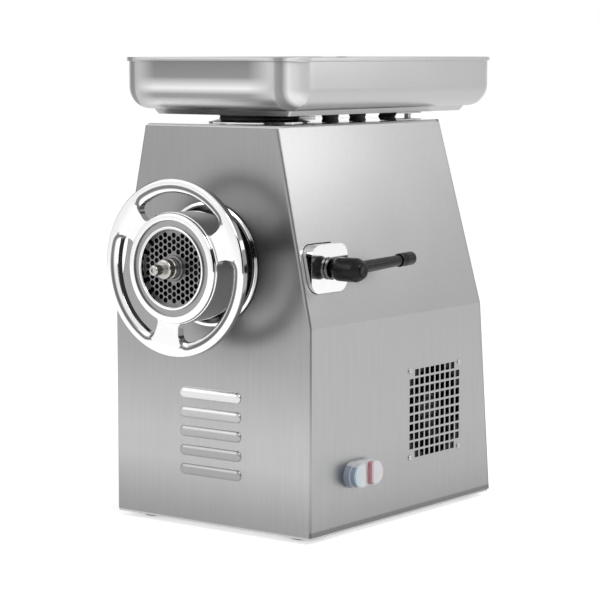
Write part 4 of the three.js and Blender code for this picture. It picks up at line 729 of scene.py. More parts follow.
def funnel(name, mouth, width, depth, through, turn):
    """A drawn mouth inset step by step along a quarter ellipse, then driven on by a length."""
    piece = drawn(name, mouth, -TOUCH)
    steps = 9
    turns = [math.pi / 2 * i / steps for i in range(steps + 1)]
    bpy.context.tool_settings.mesh_select_mode = (False, False, True)
    bpy.ops.mesh.select_all(action="SELECT")
    bpy.ops.mesh.extrude_region_move(TRANSFORM_OT_translate={"value": (0, 0, 1.2 * TOUCH)})
    for before, after in zip(turns, turns[1:]):
        inward = width * (math.sin(after) - math.sin(before))
        down = depth * (math.cos(before) - math.cos(after))
        bpy.ops.mesh.inset(thickness=inward, depth=0, use_even_offset=True)
        bpy.ops.transform.translate(value=(0, 0, down))
    bpy.ops.mesh.extrude_region_move(TRANSFORM_OT_translate={"value": (0, 0, through)})
    bpy.ops.mesh.select_all(action="SELECT")
    bpy.ops.mesh.normals_make_consistent(inside=False)
    leave_edit()
    piece.rotation_euler = (0, 0, -turn)
    freeze(piece)
    return place(piece, "Y", (0, NUT_RIM_FRONT, AXIS_Z))


def slot_cutters(head, turn):
    """The slot itself with a small rounded edge, and the wide round that the rim has there."""
    inner = NUT_HUB_RADIUS + SLOT_INNER_GAP
    outer = head.rim_inner - SLOT_OUTER_GAP
    spoke_half = math.asin(head.spoke_width / (inner + outer))
    reach = math.pi / head.spokes - spoke_half
    edge, (width, depth) = SLOT_EDGE, SLOT_ROUND
    slot = slot_outline(
        inner - edge, outer + edge, reach + edge / outer, SLOT_INNER_CORNER + edge, SLOT_CORNER + edge)
    rim = slot_outline(
        inner + 2 * MM, outer + width - 0.3 * MM, reach + SLOT_END_ROUND / outer,
        width + 1.5 * MM, width + 6 * MM)
    return (
        funnel("slot_cutter", slot, edge, edge, 20 * MM, turn),
        funnel("rim_cutter", rim, width, depth, 1.7 * MM, turn))


class GRINDER_OT_ring_nut(bpy.types.Operator):
    """Turn the ring nut and cut the slots between its spokes"""
    bl_idname = "grinder.ring_nut"
    bl_label = "Build ring nut"

    def execute(self, context):
        head = context.scene.grinder_head
        groove_in, groove_out, groove_depth = NUT_GROOVE
        rim_out = head.nut_radius - NUT_EDGE
        profile = [
            (NUT_LIP_RADIUS, NUT_HUB_FRONT + 1.2 * MM),
            *arc(NUT_LIP_RADIUS + 1.2 * MM, NUT_HUB_FRONT + 1.2 * MM, 1.2 * MM, -165, -90, 3),
            *arc(groove_in - 0.6 * MM, NUT_HUB_FRONT + 0.6 * MM, 0.6 * MM, -90, 0, 2),
            (groove_in, NUT_HUB_FRONT + groove_depth),
            (groove_out, NUT_HUB_FRONT + groove_depth),
            *arc(groove_out + 0.6 * MM, NUT_HUB_FRONT + 0.6 * MM, 0.6 * MM, -180, -90, 2),
            *arc(NUT_HUB_RADIUS - NUT_EDGE, NUT_HUB_FRONT + NUT_EDGE, NUT_EDGE, -90, 0, 6),
            *arc(NUT_HUB_RADIUS + 2 * MM, NUT_WEB_FRONT - 2 * MM, 2 * MM, 180, 90, 4),
            (head.rim_inner - 3 * MM, NUT_WEB_FRONT - 0.9 * MM),
            (head.rim_inner + 1.0 * MM, NUT_RIM_FRONT),
            *arc(rim_out, NUT_RIM_FRONT + NUT_EDGE, NUT_EDGE, -90, 0, 8),
            *arc(rim_out, NUT_RIM_BACK - NUT_EDGE, NUT_EDGE, 0, 90, 8),
            (head.rim_inner, NUT_RIM_BACK),
            (head.rim_inner - 0.8 * MM, NUT_WEB_BACK),
            (NUT_HUB_RADIUS, NUT_WEB_BACK),
            (NUT_HUB_RADIUS, NUT_SKIRT_END - 0.8 * MM),
            (NUT_HUB_RADIUS - 0.8 * MM, NUT_SKIRT_END),
            (NUT_BORE, NUT_SKIRT_END),
            (NUT_BORE, PLATE_FRONT - GAP),
            (NUT_LIP_RADIUS, PLATE_FRONT - GAP),
        ]
        piece = turned("ring_nut_polished", profile, "Y", HEAD_CENTRE, ROUND)
        step = 2 * math.pi / head.spokes
        for i in range(head.spokes):
            for cutter in slot_cutters(head, math.radians(FIRST_SPOKE) + step * (i + 0.5)):
                cut(piece, cutter, "MANIFOLD")
        bevel(piece, 0.5 * MM, 2, 50)
        # The nut's finish has painted reflections on its rounded edges
        dress(piece, FINISHES["nut"], "polished_steel", "nut", "ring_nut")
        second_finish(piece, FINISHES["groove"], lambda centre, normal: (
            groove_in < from_axis(centre) < groove_out and centre.y < ORIGIN.y + PLATE_FRONT - MM))
        # Painted shade on the nut's back faces, which darkens the sheet behind where it reflects them, and a
        # painted dark reflection on the outer side of the rim
        second_finish(piece, FINISHES["shade"], lambda centre, normal: (
            normal.y > 0.6 or from_axis(centre) > rim_out and centre.y > ORIGIN.y + NUT_RIM_FRONT + 6 * MM))
        return {"FINISHED"}


class GRINDER_OT_cutting_plate(bpy.types.Operator):
    """Turn the cutting plate and drill its field of holes"""
    bl_idname = "grinder.cutting_plate"
    bl_label = "Build cutting plate"

    def execute(self, context):
        head = context.scene.grinder_head
        bore = STUD_RADIUS + GAP
        hub_front = PLATE_FRONT - HUB_PROUD
        profile = [
            (bore, hub_front + 0.4 * MM),
            (bore + 0.4 * MM, hub_front),
            *arc(HUB_RADIUS - 0.8 * MM, hub_front + 0.8 * MM, 0.8 * MM, -90, 0, 3),
            (HUB_RADIUS, PLATE_FRONT),
            *arc(PLATE_RADIUS - 0.5 * MM, PLATE_FRONT + 0.5 * MM, 0.5 * MM, -90, 0, 2),
            (PLATE_RADIUS, PLATE_BACK),
            (bore, PLATE_BACK),
        ]
        piece = turned("cutting_plate_drilled", profile, "Y", HEAD_CENTRE, MEDIUM_ROUND)
        column_pitch = head.hole_pitch * math.cos(math.pi / 6)
        field, height = HOLE_FIELD
        reach = math.ceil(field / column_pitch)
        drills = []
        for column in range(-reach, reach + 1):
            for row in range(-reach, reach + 1):
                x = column * column_pitch
                z = (row + (0.5 if column % 2 else 0)) * head.hole_pitch
                away = math.hypot(x, z)
                if HUB_RADIUS + head.hole_radius < away < field and abs(z) < height:
                    drills.append((x, z))
        deselect()
        bpy.ops.mesh.primitive_cylinder_add(
            vertices=16, radius=head.hole_radius, depth=16 * MM, location=(0, 0, 0),
            rotation=(math.pi / 2, 0, 0))
        first = named("drill")
        freeze(first)
        middle = (PLATE_FRONT + PLATE_BACK) / 2
        spots = [ORIGIN + Vector((x, middle, AXIS_Z + z)) for x, z in drills]
        copies = [duplicate(first, f"drill_{i}", spot) for i, spot in enumerate(spots)]
        bpy.data.objects.remove(first, do_unlink=True)
        cut(piece, together(copies))
        dress(piece, FINISHES["plate"], "plain_steel", "plate", "cutting_plate", angle=30)
        return {"FINISHED"}


class GRINDER_OT_barrel(bpy.types.Operator):
    """Turn the barrel with its thread, the trim ring round it and the stud in front"""
    bl_idname = "grinder.barrel"
    bl_label = "Build barrel and stud"

    def execute(self, context):
        front, thread_end, rear = -57.8 * MM, -23.7 * MM, 154.8 * MM
        crest, root, pitch = 57.2 * MM, 56.0 * MM, 5 * MM
        profile = [(50.3 * MM, front), (crest - 1 * MM, front)]
        turn = front + 1 * MM
        while turn + pitch < thread_end:
            profile += [
                (crest, turn), (crest, turn + 0.3 * pitch), (root, turn + 0.5 * pitch),
                (root, turn + 0.7 * pitch)]
            turn += pitch
        profile += [
            (crest, turn), (crest, thread_end), (62.6 * MM - 0.8 * MM, thread_end),
            (62.6 * MM, thread_end + 0.8 * MM), (62.6 * MM, rear - 1 * MM), (61.6 * MM, rear),
            (26.1 * MM, rear), (26.1 * MM, rear - 12.4 * MM), (49.5 * MM, rear - 12.4 * MM),
            (49.5 * MM, front + 4.7 * MM), (50.3 * MM, front + 4.7 * MM),
        ]
        piece = turned("barrel_turned", profile, "Y", HEAD_CENTRE, ROUND)
        port = turned(
            "port_cutter", [(39.2 * MM, AXIS_Z + 5 * MM), (39.2 * MM, AXIS_Z + 80 * MM)],
            "Z", (0, 93.9 * MM, 0), MEDIUM_ROUND, closed=False)
        cut(piece, port)
        # The barrel gets the painted shade finish, dark where it shows behind the ring nut
        dress(piece, FINISHES["shade"], "cast_metal", "barrel", "barrel")

        back = -GAP
        ring_front = back - 4.1 * MM
        profile = [
            (62.9 * MM, back), (72.5 * MM, back), (73.1 * MM, back - 0.6 * MM),
            *arc(72.1 * MM, back - 1.4 * MM, 1.0 * MM, 0, -90, 4),
            (69.2 * MM, ring_front + 1.2 * MM), (68.2 * MM, ring_front + 0.5 * MM),
            *arc(67.0 * MM, ring_front + 1.0 * MM, 1.0 * MM, 0, -90, 4),
            (63.5 * MM, ring_front), (62.9 * MM, ring_front + 0.6 * MM),
        ]
        trim = turned("trim_ring_polished", profile, "Y", HEAD_CENTRE, ROUND)
        dress(trim, FINISHES["polished"], "polished_steel", "machine", "front_trim_ring")
        # Painted dark reflections: the trim ring's outer band and its inner step get the painted shade finish
        second_finish(trim, FINISHES["shade"], lambda centre, normal: (
            from_axis(centre) > 72.4 * MM or 63.4 * MM < from_axis(centre) < 69 * MM))

        tip, shoulder, square_end = -100.1 * MM, -83.6 * MM, -40.0 * MM
        profile = [
            (2.2 * MM, tip + 1.5 * MM), (2.6 * MM, tip),
            *arc(4.0 * MM, tip + 2.1 * MM, 2.1 * MM, -80, 0, 4),
            (6.1 * MM, tip + 6 * MM), (6.1 * MM, shoulder - 4 * MM), (5.6 * MM, shoulder - 3 * MM),
            (5.6 * MM, shoulder), (STUD_RADIUS - 2.4 * MM, shoulder),
            *arc(STUD_RADIUS - 2.4 * MM, shoulder + 2.4 * MM, 2.4 * MM, -80, 0, 5),
            (STUD_RADIUS, shoulder + 7 * MM), (STUD_RADIUS - 0.8 * MM, shoulder + 8 * MM),
            (STUD_RADIUS - 0.8 * MM, shoulder + 10 * MM), (STUD_RADIUS, shoulder + 11 * MM),
            (STUD_RADIUS, -52.95 * MM),
        ]
        stud = turned("auger_stud_turned", profile, "Y", HEAD_CENTRE, MEDIUM_ROUND, closed=False)
        rod_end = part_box("auger_stud")[1].y - ORIGIN.y
        half = 15.9 * MM / 2
        middle = ORIGIN + Vector(HEAD_CENTRE)
        square = bar(
            "stud_square", (middle.x - half, ORIGIN.y - 54 * MM, middle.z - half),
            (middle.x + half, ORIGIN.y + square_end, middle.z + half))
        weld(stud, square)
        root_rod = turned(
            "stud_root", [
                (7.0 * MM, -41 * MM), (7.6 * MM, -40 * MM), (7.6 * MM, rod_end - MM), (6.6 * MM, rod_end)],
            "Y", HEAD_CENTRE, SMALL_ROUND, closed=False)
        weld(stud, root_rod)
        dress(stud, FINISHES["turned"], "plain_steel", "auger", "auger_stud")
        return {"FINISHED"}


class GRINDER_PG_stage(bpy.types.PropertyGroup):
    """Camera and light."""
    lens: FloatProperty(
        name="Lens", description="Focal length of the camera in millimetres", default=134.82)
    ambient: FloatProperty(
        name="Ambient light", description="Strength of the even light from all round",
        min=0, default=0.55)
    key: FloatProperty(
        name="Key light", description="Power of the main soft light in watts", min=0, default=38)
    fill: FloatProperty(
        name="Fill light", description="Power of the second soft light in watts", min=0, default=14)
    side: FloatProperty(
        name="Side light", description="Power of the soft light beside the cabinet in watts",
        min=0, default=0.65)


CAMERA_PLACE = (1.6386, -2.1542, 0.5603)
CAMERA_TURN = (83.665, 0, 37.42)
DARK_CARDS = (
    ("card_right", (2.6, -0.9, 0.9), (2.6, 2.2)),
    ("card_left_rear", (-2.6, 1.0, 1.0), (2.0, 2.2)),
)
WATCHED = ("Is Camera Ray", "Is Glossy Ray", "Is Transmission Ray")


def seen_directly(tree):
    """1 for camera, glossy and transmission rays, else 0."""
    path = add(tree, "LightPath")
    total = path.outputs[WATCHED[0]]
    for name in WATCHED[1:]:
        total = add(tree, "Math", {"operation": "MAXIMUM"}, {0: total, 1: path.outputs[name]}).outputs[0]
    return total


def soft_light(name, power, size, spot, aim):
    lamp = bpy.data.lights.new(name, "AREA")
    lamp.energy = power
    lamp.shape = "RECTANGLE"
    lamp.size, lamp.size_y = size
    holder = bpy.data.objects.new(name, lamp)
    holder.location = spot
    holder.rotation_euler = (Vector(aim) - Vector(spot)).to_track_quat("-Z", "Y").to_euler()
    bpy.context.scene.collection.objects.link(holder)


def dark_card(name, spot, size, cloth):
    """A dark studio card that only shows as a reflection in metal, gloss and glass."""
    deselect()
    aim = Vector((0, 0, 0.3)) - Vector(spot)
    bpy.ops.mesh.primitive_plane_add(
        size=1, location=spot, rotation=aim.to_track_quat("Z", "Y").to_euler())
    card = named(name)
    card.scale = (size[0], size[1], 1)
    card.visible_camera = False
    card.visible_diffuse = False
    card.visible_transmission = False
    card.visible_shadow = False
    card.data.materials.append(cloth)


class GRINDER_OT_stage(bpy.types.Operator):
    """Set up the floor, the lights, the background and the camera"""
    bl_idname = "grinder.stage"
    bl_label = "Set the stage"

    def execute(self, context):
        settings = context.scene.grinder_stage
        scene = context.scene
        scene.view_settings.view_transform = "Standard"
        world = bpy.data.worlds.new("studio")
        scene.world = world
        world.use_nodes = True
        tree = world.node_tree
        background = tree.nodes["Background"]
        background.inputs["Color"].default_value = (1, 1, 1, 1)
        strength = spread(tree, seen_directly(tree), settings.ambient, 1.0)
        tree.links.new(strength, background.inputs["Strength"])

        deselect()
        bpy.ops.mesh.primitive_plane_add(size=60, location=(0, 0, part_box("foot_1")[0].z))
        floor = named("studio_floor")
        finish, tree, shader = new_finish("floor_white")
        shader.inputs["Base Color"].default_value = (0.9, 0.9, 0.9, 1)
        shader.inputs["Roughness"].default_value = 0.9
        shader.inputs["Specular IOR Level"].default_value = 0.0
        glow = add(tree, "Emission", None, {"Color": (1, 1, 1, 1)})
        lift = spread(tree, seen_directly(tree), 0.0, 0.53)
        tree.links.new(lift, glow.inputs["Strength"])
        both = add(tree, "AddShader", None, {0: shader.outputs[0], 1: glow.outputs[0]})
        tree.links.new(both.outputs[0], tree.nodes["Material Output"].inputs["Surface"])
        floor.data.materials.append(finish)

        cloth, tree, shader = new_finish("card_black")
        shader.inputs["Base Color"].default_value = (0.02, 0.02, 0.02, 1)
        shader.inputs["Specular IOR Level"].default_value = 0.0
        for name, spot, size in DARK_CARDS:
            dark_card(name, spot, size, cloth)

        soft_light("key_light", settings.key, (1.6, 1.6), (2.2, -0.6, 2.4), (0, 0, 0.25))
        soft_light("fill_light", settings.fill, (1.4, 1.8), (-1.6, -2.4, 1.6), (0, 0, 0.3))
        soft_light("side_light", settings.side, (0.45, 0.14), (0.78, 0.5, 0.66), (0.13, -0.15, 0.42))

        camera = bpy.data.cameras.new("camera")
        camera.lens = settings.lens
        camera.sensor_width = 36
        holder = bpy.data.objects.new("camera", camera)
        holder.location = CAMERA_PLACE
        holder.rotation_euler = [math.radians(turn) for turn in CAMERA_TURN]
        scene.collection.objects.link(holder)
        scene.camera = holder
        return {"FINISHED"}


class GRINDER_PG_cabinet(bpy.types.PropertyGroup):
    """Sizes of the cabinet's details."""
    louvres: IntProperty(
        name="Louvres", description="Number of louvres pressed into the front", min=1, default=5)
    louvre_pitch: FloatProperty(
        name="Louvre pitch", description="Distance from one louvre to the next",
        unit="LENGTH", default=22.7 * MM)
    louvre_length: FloatProperty(
        name="Louvre length", description="Length of one louvre", unit="LENGTH", default=91.8 * MM)


# A face's share along an axis above which it counts as flat to it, the leaning side sheets too
FLAT = 0.97
FOLD_HEIGHT = 242 * MM
CABINET_TOP = 469.6 * MM
LOUVRE_TOP = 154.3 * MM
LOUVRE_RADIUS = 6.7 * MM
LOUVRE_PROUD = 3.4 * MM
SHEET = 1.5 * MM
HALF_WIDTH = 147 * MM


def louvre_form(name, radius, proud, length, height):
    """A long capsule along X, flattened towards the sheet."""
    half = length / 2 - radius
    profile = [
        (0.2 * MM, -half - radius + 0.01 * MM), *arc(0, -half, radius, -75, 0, 5),
        *arc(0, half, radius, 0, 75, 5), (0.2 * MM, half + radius - 0.01 * MM),
    ]
    piece = turned(name, profile, "X", (0, 0, 0), 32, closed=False)
    piece.location = -ORIGIN
    freeze(piece)
    piece.scale = (1, proud / radius, 1)
    freeze(piece)
    piece.location = ORIGIN + Vector((0, 0, height))
    freeze(piece)
    return piece


class GRINDER_OT_casing(bpy.types.Operator):
    """Take the cabinet sheet from the frame and round its louvres"""
    bl_idname = "grinder.casing"
    bl_label = "Build casing"

    def execute(self, context):
        cabinet = context.scene.grinder_cabinet
        piece = copied("casing", "casing_brushed")
        reach = cabinet.louvre_length
        low = LOUVRE_TOP - cabinet.louvre_pitch * cabinet.louvres
        cut(piece, bar(
            "hood_cutter", ORIGIN + Vector((-reach, -10 * MM, low)),
            ORIGIN + Vector((reach, -0.02 * MM, LOUVRE_TOP + cabinet.louvre_pitch))))
        for i in range(cabinet.louvres):
            height = LOUVRE_TOP - i * cabinet.louvre_pitch
            hood = louvre_form(
                f"louvre_{i}", LOUVRE_RADIUS + 0.05 * MM, LOUVRE_PROUD + 0.03 * MM,
                cabinet.louvre_length + 0.1 * MM, height)
            edit(hood)
            bpy.ops.mesh.select_all(action="SELECT")
            bpy.ops.mesh.bisect(
                plane_co=(0, ORIGIN.y + SHEET * 0.6, 0), plane_no=(0, 1, 0), clear_outer=True,
                use_fill=True)
            bpy.ops.mesh.select_all(action="SELECT")
            bpy.ops.mesh.bisect(
                plane_co=(0, 0, ORIGIN.z + height - LOUVRE_RADIUS * 0.92), plane_no=(0, 0, -1),
                clear_outer=True, use_fill=True)
            leave_edit()
            weld(piece, hood)
            hollow = louvre_form(
                f"louvre_hollow_{i}", LOUVRE_RADIUS - SHEET + 0.05 * MM,
                LOUVRE_PROUD - SHEET + 0.6 * MM, cabinet.louvre_length - 2 * SHEET, height)
            cut(piece, hollow)
        edit(piece)
        fold = ORIGIN.z + FOLD_HEIGHT
        for test in (
                lambda centre, normal: abs(normal.x) > FLAT and centre.z > fold,
                lambda centre, normal: abs(normal.x) > FLAT and centre.z < fold,
                lambda centre, normal: normal.y < -FLAT and centre.z > fold):
            pick_faces(piece, test)
            bpy.ops.mesh.region_to_loop()
            bpy.ops.mesh.mark_sharp()
        leave_edit()
        # The cabinet's finish carries painted light and shade bands
        dress(piece, FINISHES["casing"], "casing_steel", "machine", "casing", angle=28)
        # Painted light on the top faces, which lie in the tray's shade
        second_finish(piece, FINISHES["top_sheet"], lambda centre, normal: normal.z > FLAT)
        # Painted light on the bent top edges, which lie in the tray's shade
        second_finish(piece, FINISHES["bent_edge"], lambda centre, normal: (
            FLAT >= normal.z > 0.3 and centre.z > ORIGIN.z + CABINET_TOP - 50 * MM))
        # Painted highlight on the louvre hoods
        second_finish(piece, FINISHES["louvre"], lambda centre, normal: (
            centre.y < ORIGIN.y - 0.4 * MM and centre.z < fold))
        return {"FINISHED"}


class GRINDER_OT_feet(bpy.types.Operator):
    """Turn the feet and the domed rivets of the grille"""
    bl_idname = "grinder.feet"
    bl_label = "Build feet and rivets"

    def execute(self, context):
        for i in range(1, 5):
            low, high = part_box(f"foot_{i}")
            centre = (low + high) / 2 - ORIGIN
            bottom, top = low.z - ORIGIN.z, high.z - ORIGIN.z
            sole, rim = 16.5 * MM, (high.x - low.x) / 2
            profile = [
                (3 * MM, bottom + 2 * MM), (4.5 * MM, bottom + 1.6 * MM), (5.2 * MM, bottom + 0.4 * MM),
                (6 * MM, bottom), (sole - 1 * MM, bottom), (sole + 0.4 * MM, bottom + 0.6 * MM),
                (rim - 0.7 * MM, bottom + 4.6 * MM), (rim, bottom + 5.2 * MM),
                (rim, top - 0.3 * MM), (rim - 0.4 * MM, top), (5 * MM, top),
            ]
            foot = turned(
                f"foot_rubber_{i}", profile, "Z", (centre.x, centre.y, 0), SMALL_ROUND, closed=False)
            dress(foot, FINISHES["rubber"], "black_rubber", "machine", f"foot_{i}")
        for i in range(1, 5):
            low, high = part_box(f"vent_rivet_{i}")
            centre = (low + high) / 2 - ORIGIN
            start, end = low.x - ORIGIN.x, high.x - ORIGIN.x
            shank = 2.1 * MM
            seat = HALF_WIDTH + 0.3 * MM
            head = 3.3 * MM
            profile = [
                (shank - 0.4 * MM, start), (shank, start + 0.4 * MM), (shank, seat), (head, seat),
                (head, seat + 0.3 * MM), (3.0 * MM, seat + 0.8 * MM), (2.3 * MM, seat + 1.25 * MM),
                (1.4 * MM, end - 0.08 * MM), (0.9 * MM, end), (0.6 * MM, end - 0.4 * MM),
            ]
            rivet = turned(f"vent_rivet_domed_{i}", profile, "X", (0, centre.y, centre.z), 24, closed=False)
            dress(rivet, FINISHES["plain"], "plain_steel", "machine", f"vent_rivet_{i}")
        return {"FINISHED"}


class GRINDER_PG_clamp(bpy.types.PropertyGroup):
    """Sizes of the clamp on the right side."""
    block_width: FloatProperty(
        name="Block width", description="Width of the clamp block", unit="LENGTH", default=68.1 * MM)
    block_height: FloatProperty(
        name="Block height", description="Height of the clamp block", unit="LENGTH", default=55.2 * MM)
    lever_reach: FloatProperty(
        name="Lever reach", description="Length of the lever from the screw's axis",
        unit="LENGTH", default=125.4 * MM)


CLAMP_Y = 42.5 * MM
CLAMP_FACE = 142.4 * MM
CLAMP_CORNER = 14.4 * MM
HOUSING_RADIUS = 72.2 * MM
SCREW_RADIUS = 7.2 * MM
HUB_START, HUB_END = 147.5 * MM, 189.5 * MM
LEVER_X = 169.2 * MM
LEVER_LIFT = math.radians(2)
LEVER_CAP_LENGTH = 27.9 * MM
CLAMP_CENTRE = (0, CLAMP_Y, AXIS_Z)


def aim_lever(piece):
    """Lifts a piece made along +Y from the screw's axis by the lever's small angle."""
    pivot = ORIGIN + Vector((LEVER_X, CLAMP_Y, AXIS_Z))
    piece.location = -pivot
    freeze(piece)
    piece.rotation_euler = (LEVER_LIFT, 0, 0)
    freeze(piece)
    piece.location = pivot
    freeze(piece)
    return piece


class GRINDER_OT_clamp(bpy.types.Operator):
    """Build the clamp block, its screw and the lever with its cap"""
    bl_idname = "grinder.clamp"
    bl_label = "Build clamp"

    def execute(self, context):
        clamp = context.scene.grinder_clamp
        block = lozenge(
            "clamp_block_chromed", "X", 62.8 * MM, CLAMP_FACE, CLAMP_CENTRE,
            (clamp.block_height, clamp.block_width), CLAMP_CORNER, 10)
        saddle = turned(
            "saddle", [(HOUSING_RADIUS + GAP, -20 * MM), (HOUSING_RADIUS + GAP, 120 * MM)],
            "Y", HEAD_CENTRE, ROUND, closed=False)
        cut(block, saddle)
        bore = turned(
            "screw_bore", [(SCREW_RADIUS + GAP, 20 * MM), (SCREW_RADIUS + GAP, CLAMP_FACE + 20 * MM)],
            "X", CLAMP_CENTRE, MEDIUM_ROUND, closed=False)
        cut(block, bore)
        bevel(block, 2.2 * MM, 4, 50)
        dress(block, FINISHES["chrome"], "polished_steel", "machine", "clamp_block")

        collar, seat = 13 * MM, CLAMP_FACE + GAP
        start = 67.8 * MM
        profile = [
            (SCREW_RADIUS - 0.8 * MM, start), (SCREW_RADIUS, start + 0.8 * MM), (SCREW_RADIUS, seat),
            (collar - 1.2 * MM, seat), *arc(collar - 1.2 * MM, seat + 1.2 * MM, 1.2 * MM, -90, 0, 4),
            *arc(collar - 1 * MM, seat + 3.1 * MM, 1 * MM, 0, 90, 3),
            (SCREW_RADIUS, seat + 4.1 * MM), (SCREW_RADIUS, LEVER_X),
        ]
        screw = turned("clamp_screw_turned", profile, "X", CLAMP_CENTRE, MEDIUM_ROUND, closed=False)
        # The screw and its collar get the painted shade finish: painted dark reflections
        dress(screw, FINISHES["shade"], "plain_steel", "lever", "clamp_screw")

        neck, hub, face = 9.8 * MM, 13.8 * MM, 9.3 * MM
        taper = HUB_END - 9.3 * MM
        socket = SCREW_RADIUS + GAP
        profile = [
            (socket, HUB_START), (neck - 0.6 * MM, HUB_START), (neck, HUB_START + 0.6 * MM),
            (neck + 0.8 * MM, HUB_START + 2.5 * MM), (hub - 1.2 * MM, HUB_START + 6.2 * MM),
            (hub - 0.2 * MM, HUB_START + 7.8 * MM), (hub, HUB_START + 9.5 * MM), (hub, taper),
            (hub - 0.4 * MM, taper + 1.8 * MM), (face + 1.2 * MM, HUB_END - 2.0 * MM),
            (face, HUB_END - 0.5 * MM), (face - 0.5 * MM, HUB_END), (face - 1.2 * MM, HUB_END),
            (face - 1.2 * MM, HUB_END - 3.1 * MM), (socket - 2 * MM, HUB_END - 3.1 * MM),
            (socket - 2 * MM, LEVER_X + GAP), (socket, LEVER_X + GAP),
        ]
        lever = turned("clamp_lever_moulded", profile, "X", CLAMP_CENTRE, MEDIUM_ROUND)
        cap_foot = clamp.lever_reach - LEVER_CAP_LENGTH
        spigot = 4.6 * MM
        profile = [
            (7.4 * MM, CLAMP_Y + 8.6 * MM), (7.4 * MM, CLAMP_Y + 12 * MM),
            (7.0 * MM, CLAMP_Y + cap_foot * 0.45), (6.3 * MM, CLAMP_Y + cap_foot - 0.6 * MM),
            (5.8 * MM, CLAMP_Y + cap_foot), (spigot, CLAMP_Y + cap_foot),
            (spigot, CLAMP_Y + cap_foot + 18.6 * MM),
        ]
        arm = aim_lever(turned(
            "lever_arm", profile, "Y", (LEVER_X, 0, AXIS_Z), SMALL_ROUND, closed=False))
        weld(lever, arm)
        bevel(lever, 0.5 * MM, 2, 50)
        dress(lever, FINISHES["black"], "black_plastic", "lever", "clamp_lever")

        plug = turned(
            "lever_plug_moulded", [
                (5 * MM, HUB_END - 2.8 * MM), (7.8 * MM, HUB_END - 2.8 * MM), (7.8 * MM, HUB_END),
                *arc(6.8 * MM, HUB_END + 0.14 * MM, 1 * MM, 0, 80, 3),
                (4 * MM, HUB_END + 1.1 * MM), (3.4 * MM, HUB_END + 0.7 * MM), (1 * MM, HUB_END + 0.7 * MM)],
            "X", CLAMP_CENTRE, SMALL_ROUND, closed=False)
        dress(plug, FINISHES["black"], "black_plastic", "lever", "lever_hub_plug")

        foot, tip, grip = CLAMP_Y + cap_foot + GAP, CLAMP_Y + clamp.lever_reach, 7.9 * MM
        profile = [(spigot + GAP, foot), (grip - 0.5 * MM, foot), (grip, foot + 0.5 * MM)]
        for i in range(3):
            rib = foot + (3.5 + 3 * i) * MM
            profile += [
                (grip, rib), (grip - 0.6 * MM, rib + 0.4 * MM), (grip - 0.6 * MM, rib + 0.9 * MM),
                (grip, rib + 1.3 * MM)]
        profile += [
            *arc(grip - 3.1 * MM, tip - 3.1 * MM, 3.1 * MM, 0, 84, 6), (1.2 * MM, tip),
        ]
        profile += [(1.2 * MM, tip - 6 * MM), (spigot + GAP, tip - 6 * MM)]
        cap = aim_lever(turned(
            "lever_cap_moulded", profile, "Y", (LEVER_X, 0, AXIS_Z), SMALL_ROUND))
        dress(cap, FINISHES["black"], "black_plastic", "lever", "lever_end_cap")
        return {"FINISHED"}


BUTTON_Y, BUTTON_Z = 91.8 * MM, 65.4 * MM
BUTTON_PLATE = (59.2 * MM, 31.7 * MM)
BEZEL_X = HALF_WIDTH + GAP
BEZEL_FACE = BEZEL_X + 6.5 * MM
BUTTON_VALLEY = 13 * MM
BUTTON_CORNER = 4.5 * MM
BUTTON_FACE = BEZEL_X + 13.6 * MM
BOOT_TOP = BEZEL_X + 17.1 * MM
BOOT_MARGIN = 1.3 * MM
BOOT_WALL = 1.1 * MM


def button_half(name, side, inset, start, face, edge):
    """One D-shaped half of the push button, set in all round, with its front edge rounded."""
    length, height = BUTTON_PLATE
    radius = height / 2 - BOOT_MARGIN - inset
    corner = BUTTON_CORNER - inset
    corner_u = BUTTON_VALLEY / 2 + BUTTON_CORNER
    corner_v = radius - corner
    points = []
    for u, v, size, turn, sweep, steps in (
            ((length - height) / 2, 0, radius, -90, 180, 24),
            (corner_u, corner_v, corner, 90, 90, 6),
            (corner_u, -corner_v, corner, 180, 90, 6)):
        for i in range(steps + 1):
            at = math.radians(turn + sweep * i / steps)
            points.append((-side * (v + size * math.sin(at)), side * (u + size * math.cos(at))))
    piece = drawn(name, points, start)
    bpy.context.tool_settings.mesh_select_mode = (False, False, True)
    bpy.ops.mesh.select_all(action="SELECT")
    bpy.ops.mesh.extrude_region_move(TRANSFORM_OT_translate={"value": (0, 0, face - edge - start)})
    turns = [math.radians(84 * i / 6) for i in range(7)]
    for before, after in zip(turns, turns[1:]):
        bpy.ops.mesh.inset(
            thickness=edge * (math.cos(before) - math.cos(after)), depth=0, use_even_offset=True)
        bpy.ops.transform.translate(value=(0, 0, edge * (math.sin(after) - math.sin(before))))
    bpy.ops.mesh.select_all(action="SELECT")
    bpy.ops.mesh.normals_make_consistent(inside=False)
    leave_edit()
    return place(piece, "X", (0, BUTTON_Y, BUTTON_Z))


